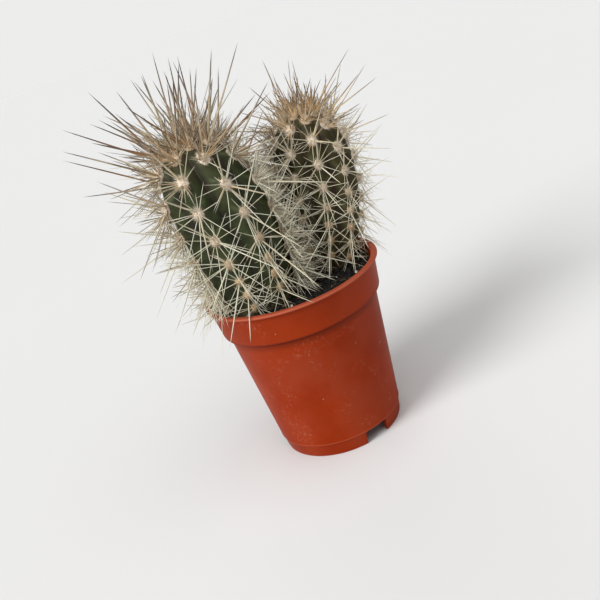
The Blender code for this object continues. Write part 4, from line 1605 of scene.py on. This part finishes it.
@dataclass
class Thicket:
    """What the spines have to stay clear of: both skins, the pot, the soil and an outer box."""

    stems: tuple[Stem, ...]
    pot: Pot
    soil: Soil
    reach: Vector

    STEPS = 12
    CUTS = (1.0, 0.82, 0.64, 0.5)
    RAISED = (0.0, 7.0, 15.0, 24.0, 34.0)
    SWUNG = (0.0, 9.0, -9.0, 18.0, -18.0)
    STEEPEST = 86.0
    SHORTEST = 3.0 * MM
    BOX_SHARE = 0.985
    WALL_GAP, SKIN_GAP, ROOT_ZONE = 0.3 * MM, 0.15 * MM, 2.2 * MM
    CENTRAL_SEAT, OUTER_SEAT = 0.42, 0.78

    def clear(self, stem: Stem, points: Points, roots: Points, radii: Numbers) -> Numbers:
        """Test whole spines.

        Args:
            stem: The stem that they grow on.
            points: Points along each spine, as spines x steps x 3.
            roots: Where each spine starts.
            radii: Their thickness.

        Returns:
            True for each spine that touches nothing.
        """
        x, y, z = np.moveaxis(points, -1, 0)
        wide = np.hypot(x, y)
        free = (
            (z > self.pot.height + self.WALL_GAP)
            | ((wide < self.pot.bore(z) - self.WALL_GAP) & (z > self.soil.height(x, y) + self.WALL_GAP))
            | (wide > self.pot.lip_radius + self.WALL_GAP)
        )
        free &= np.all(np.abs(points) <= np.array(self.reach) + 1e-6, axis=-1)
        near_root = np.linalg.norm(points - roots[:, None], axis=-1) < self.ROOT_ZONE
        for other in self.stems:
            outside = other.gap(points) > radii[:, None] + self.SKIN_GAP
            free &= outside | near_root if other is stem else outside
        return np.all(free, axis=1)

    def fit(self, stem: Stem, spines: list[Spine]) -> tuple[Points, Points, Points, Numbers, Numbers]:
        """Lift, swing or shorten each spine until it is clear.

        Args:
            stem: The stem that they grow on.
            spines: Their wishes.

        Returns:
            Roots, directions, bends, lengths, and which of the spines are kept.
        """
        out, up, across, place = (
            np.array([getattr(spine.areole, name) for spine in spines])
            for name in ("out", "up", "across", "place")
        )
        lift, turn, wish, radii, curl = (
            np.array([getattr(spine, name) for spine in spines])
            for name in ("lift", "turn", "length", "radius", "curl")
        )
        seat = np.array([
            spine.areole.radius * (self.CENTRAL_SEAT if spine.kind is Kind.CENTRAL else self.OUTER_SEAT)
            for spine in spines
        ])[:, None]
        roots, ways, bends = (np.zeros((len(spines), 3)) for _ in range(3))
        lengths = np.zeros(len(spines))
        left = np.arange(len(spines))
        share = np.linspace(0.0, 1.0, self.STEPS)[1:, None]
        for cut, raised, swung in itertools.product(self.CUTS, self.RAISED, self.SWUNG):
            height = np.radians(np.minimum(lift[left] + raised, self.STEEPEST))[:, None]
            way = np.radians(turn[left] + swung)[:, None]
            flat = up[left] * np.cos(way) + across[left] * np.sin(way)
            aim = unit(flat * np.cos(height) + out[left] * np.sin(height))
            root = place[left] + out[left] * stem.PAD_STAND + flat * seat[left]
            travel = aim * (wish[left] * cut)[:, None]
            room = (np.array(self.reach) - np.abs(root)) / np.maximum(np.abs(travel), 1e-9)
            length = wish[left] * cut * np.minimum(1.0, room.min(axis=1) * self.BOX_SHARE)
            bend = unit(np.cross(aim, up[left] + across[left] * 0.5)) * curl[left][:, None]
            line = root[:, None] + (aim * length[:, None])[:, None] * share
            line = line + (bend * length[:, None])[:, None] * share ** 2
            good = self.clear(stem, line, root, radii[left]) & (length > self.SHORTEST)
            done = left[good]
            roots[done], ways[done] = root[good], aim[good]
            bends[done], lengths[done] = bend[good], length[good]
            left = left[~good]
            if not len(left):
                break
        kept = np.setdiff1d(np.arange(len(spines)), left)
        LOG.info("%s: %d spines grown, %d left out", stem.name, len(kept), len(left))
        return roots[kept], ways[kept], bends[kept], lengths[kept], kept


LARGE = Stem(
    name="stem_large",
    foot=Vector((-10.0, -4.9, 44.0)) * MM,
    crown=Vector((-15.8, -2.8, 101.2)) * MM,
    neighbour=Vector((0.906, 0.423, 0.0)),
    bow=1.3 * MM, radius=14.2 * MM, waist=0.68, neck=6.4 * MM,
    ribs=8, first_rib=36.0, twist=-12.5, rib_depth=0.2,
    first_pads=(5.6 * MM, 3.0 * MM),
    pad_arcs=(4 * MM, 12 * MM, 30 * MM, 38 * MM, 45 * MM, 56 * MM),
    pad_steps=(5.0 * MM, 9.5 * MM, 8.3 * MM, 6.6 * MM, 5.0 * MM, 4.3 * MM),
    pad_radius=1.7 * MM,
    spine_scale=1.07, spine_width=0.84, crown_growth=1.0, crown_lengths=(0.8, 1.14), tan_from=0.55,
    extra_radials=8, short_length=0.95, fuzz=54, seed=8,
    skin=LARGE_SKIN, spines=LARGE_SPINES,
)
SMALL = Stem(
    name="stem_small",
    foot=Vector((10.4, 6.6, 44.0)) * MM,
    crown=Vector((20.0, 11.1, 96.2)) * MM,
    neighbour=Vector((-0.906, -0.423, 0.0)),
    bow=1.5 * MM, radius=12.4 * MM, waist=0.59, neck=6.4 * MM,
    ribs=10, first_rib=3.0, twist=-3.0, rib_depth=0.17,
    first_pads=(3.1 * MM, 4.8 * MM),
    pad_arcs=(3 * MM, 8 * MM, 20 * MM, 30 * MM, 45 * MM),
    pad_steps=(4.0 * MM, 7.4 * MM, 6.9 * MM, 5.6 * MM, 4.6 * MM),
    pad_radius=1.4 * MM,
    spine_scale=0.84, spine_width=0.77, crown_growth=-0.9, crown_lengths=(0.78, 1.5), tan_from=0.68,
    extra_radials=4, short_length=0.8, fuzz=12, seed=17,
    skin=SMALL_SKIN, spines=SMALL_SPINES,
)


@dataclass(frozen=True)
class Lamp:
    """A distant soft light: where it shines from, its strength, and its width in degrees."""

    name: str
    place: tuple[float, float, float]
    strength: float
    width: float


@dataclass
class Studio:
    """A pale floor, soft light and the camera at the picture's angle."""

    eye: Vector
    right: Vector
    up: Vector
    ahead: Vector
    focal_share: float
    lamps: tuple[Lamp, ...]
    sensor: float = 36.0
    floor_radius: float = 6.0
    floor_colour: Colour = (0.72, 0.73, 0.76)
    light_colour: Colour = (1.0, 0.985, 0.945)
    sky_colour: Colour = (0.262, 0.258, 0.242)
    backdrop_colour: Colour = (0.845, 0.845, 0.838)

    def build_camera(self) -> None:
        """Place the camera and make it the scene's own."""
        data = bpy.data.cameras.new("camera")
        data.sensor_width = self.sensor
        data.lens = self.sensor * self.focal_share
        data.clip_start = 0.01
        camera = linked("camera", data)
        columns = (self.right, self.up, -self.ahead, self.eye)
        camera.matrix_world = Matrix([[column[i] for column in columns] for i in range(3)] + [[0, 0, 0, 1]])
        bpy.context.scene.camera = camera

    def build_floor(self) -> None:
        """Lay the floor under the pot."""
        bm = bmesh.new()
        bmesh.ops.create_circle(bm, cap_ends=True, segments=96, radius=self.floor_radius)
        mesh = mesh_from(bm, "studio_floor")
        paint = Paint("studio_floor", {"Roughness": 1.0, "Specular IOR Level": 0.0})
        shade = tuple(0.985 * channel for channel in self.floor_colour)
        mesh.materials.append(paint.finish(paint.mix(self.floor_colour, shade, paint.noise(6.0))))
        floor = linked("studio_floor", mesh)

    def build_lights(self) -> None:
        """Hang the soft lights and set the pale surroundings."""
        world = bpy.data.worlds.new("studio")
        world.use_nodes = True
        graph = Graph(world.node_tree)
        seen = graph.add("LightPath").outputs["Is Camera Ray"]
        around = graph.mix(self.sky_colour, self.backdrop_colour, seen)
        graph.feed(world.node_tree.nodes["Background"], "Color", around)
        bpy.context.scene.world = world
        for lamp in self.lamps:
            data = bpy.data.lights.new(lamp.name, "SUN")
            data.energy, data.angle, data.color = lamp.strength, math.radians(lamp.width), self.light_colour
            light = linked(lamp.name, data)
            light.location = lamp.place
            light.rotation_euler = (-light.location).to_track_quat("-Z", "Y").to_euler()
        bpy.context.scene.view_settings.view_transform = "Standard"

    def build(self) -> None:
        """Build the whole studio."""
        self.build_camera()
        self.build_floor()
        self.build_lights()


STUDIO = Studio(
    eye=Vector((0.0, -0.23665, 0.1347)),
    right=Vector((0.938, -0.1244, -0.3235)),
    up=Vector((0.3466, 0.3329, 0.8769)),
    ahead=Vector((0.0014, 0.9347, -0.3554)),
    focal_share=1.373,
    lamps=(
        Lamp("key", (-0.74, -0.52, 0.66), 2.7, 30.0),
        Lamp("fill", (0.00, -0.90, 0.40), 0.35, 70.0),
        Lamp("top", (0.20, -0.25, 0.95), 1.0, 60.0),
        Lamp("rim", (-0.10, 0.90, 0.45), 0.45, 50.0),
    ),
)
SPINE_REACH = Vector((47.5, 41.0, 128.0)) * MM


def main() -> None:
    """Build the studio, the pot, the soil and both stems, and note the sizes."""
    logging.basicConfig(level=logging.INFO, format="%(name)s %(message)s")
    STUDIO.build()
    pot, stems = Pot(), (LARGE, SMALL)
    soil = Soil(pot, stems)
    pot.build()
    soil.build()
    thicket = Thicket(stems, pot, soil, SPINE_REACH)
    for stem in stems:
        stem.find_areoles(pot)
        stem.build_skin()
        stem.build_felt()
        stem.build_spines(thicket)
    bpy.context.view_layer.update()


if __name__ == "__main__":
    main()
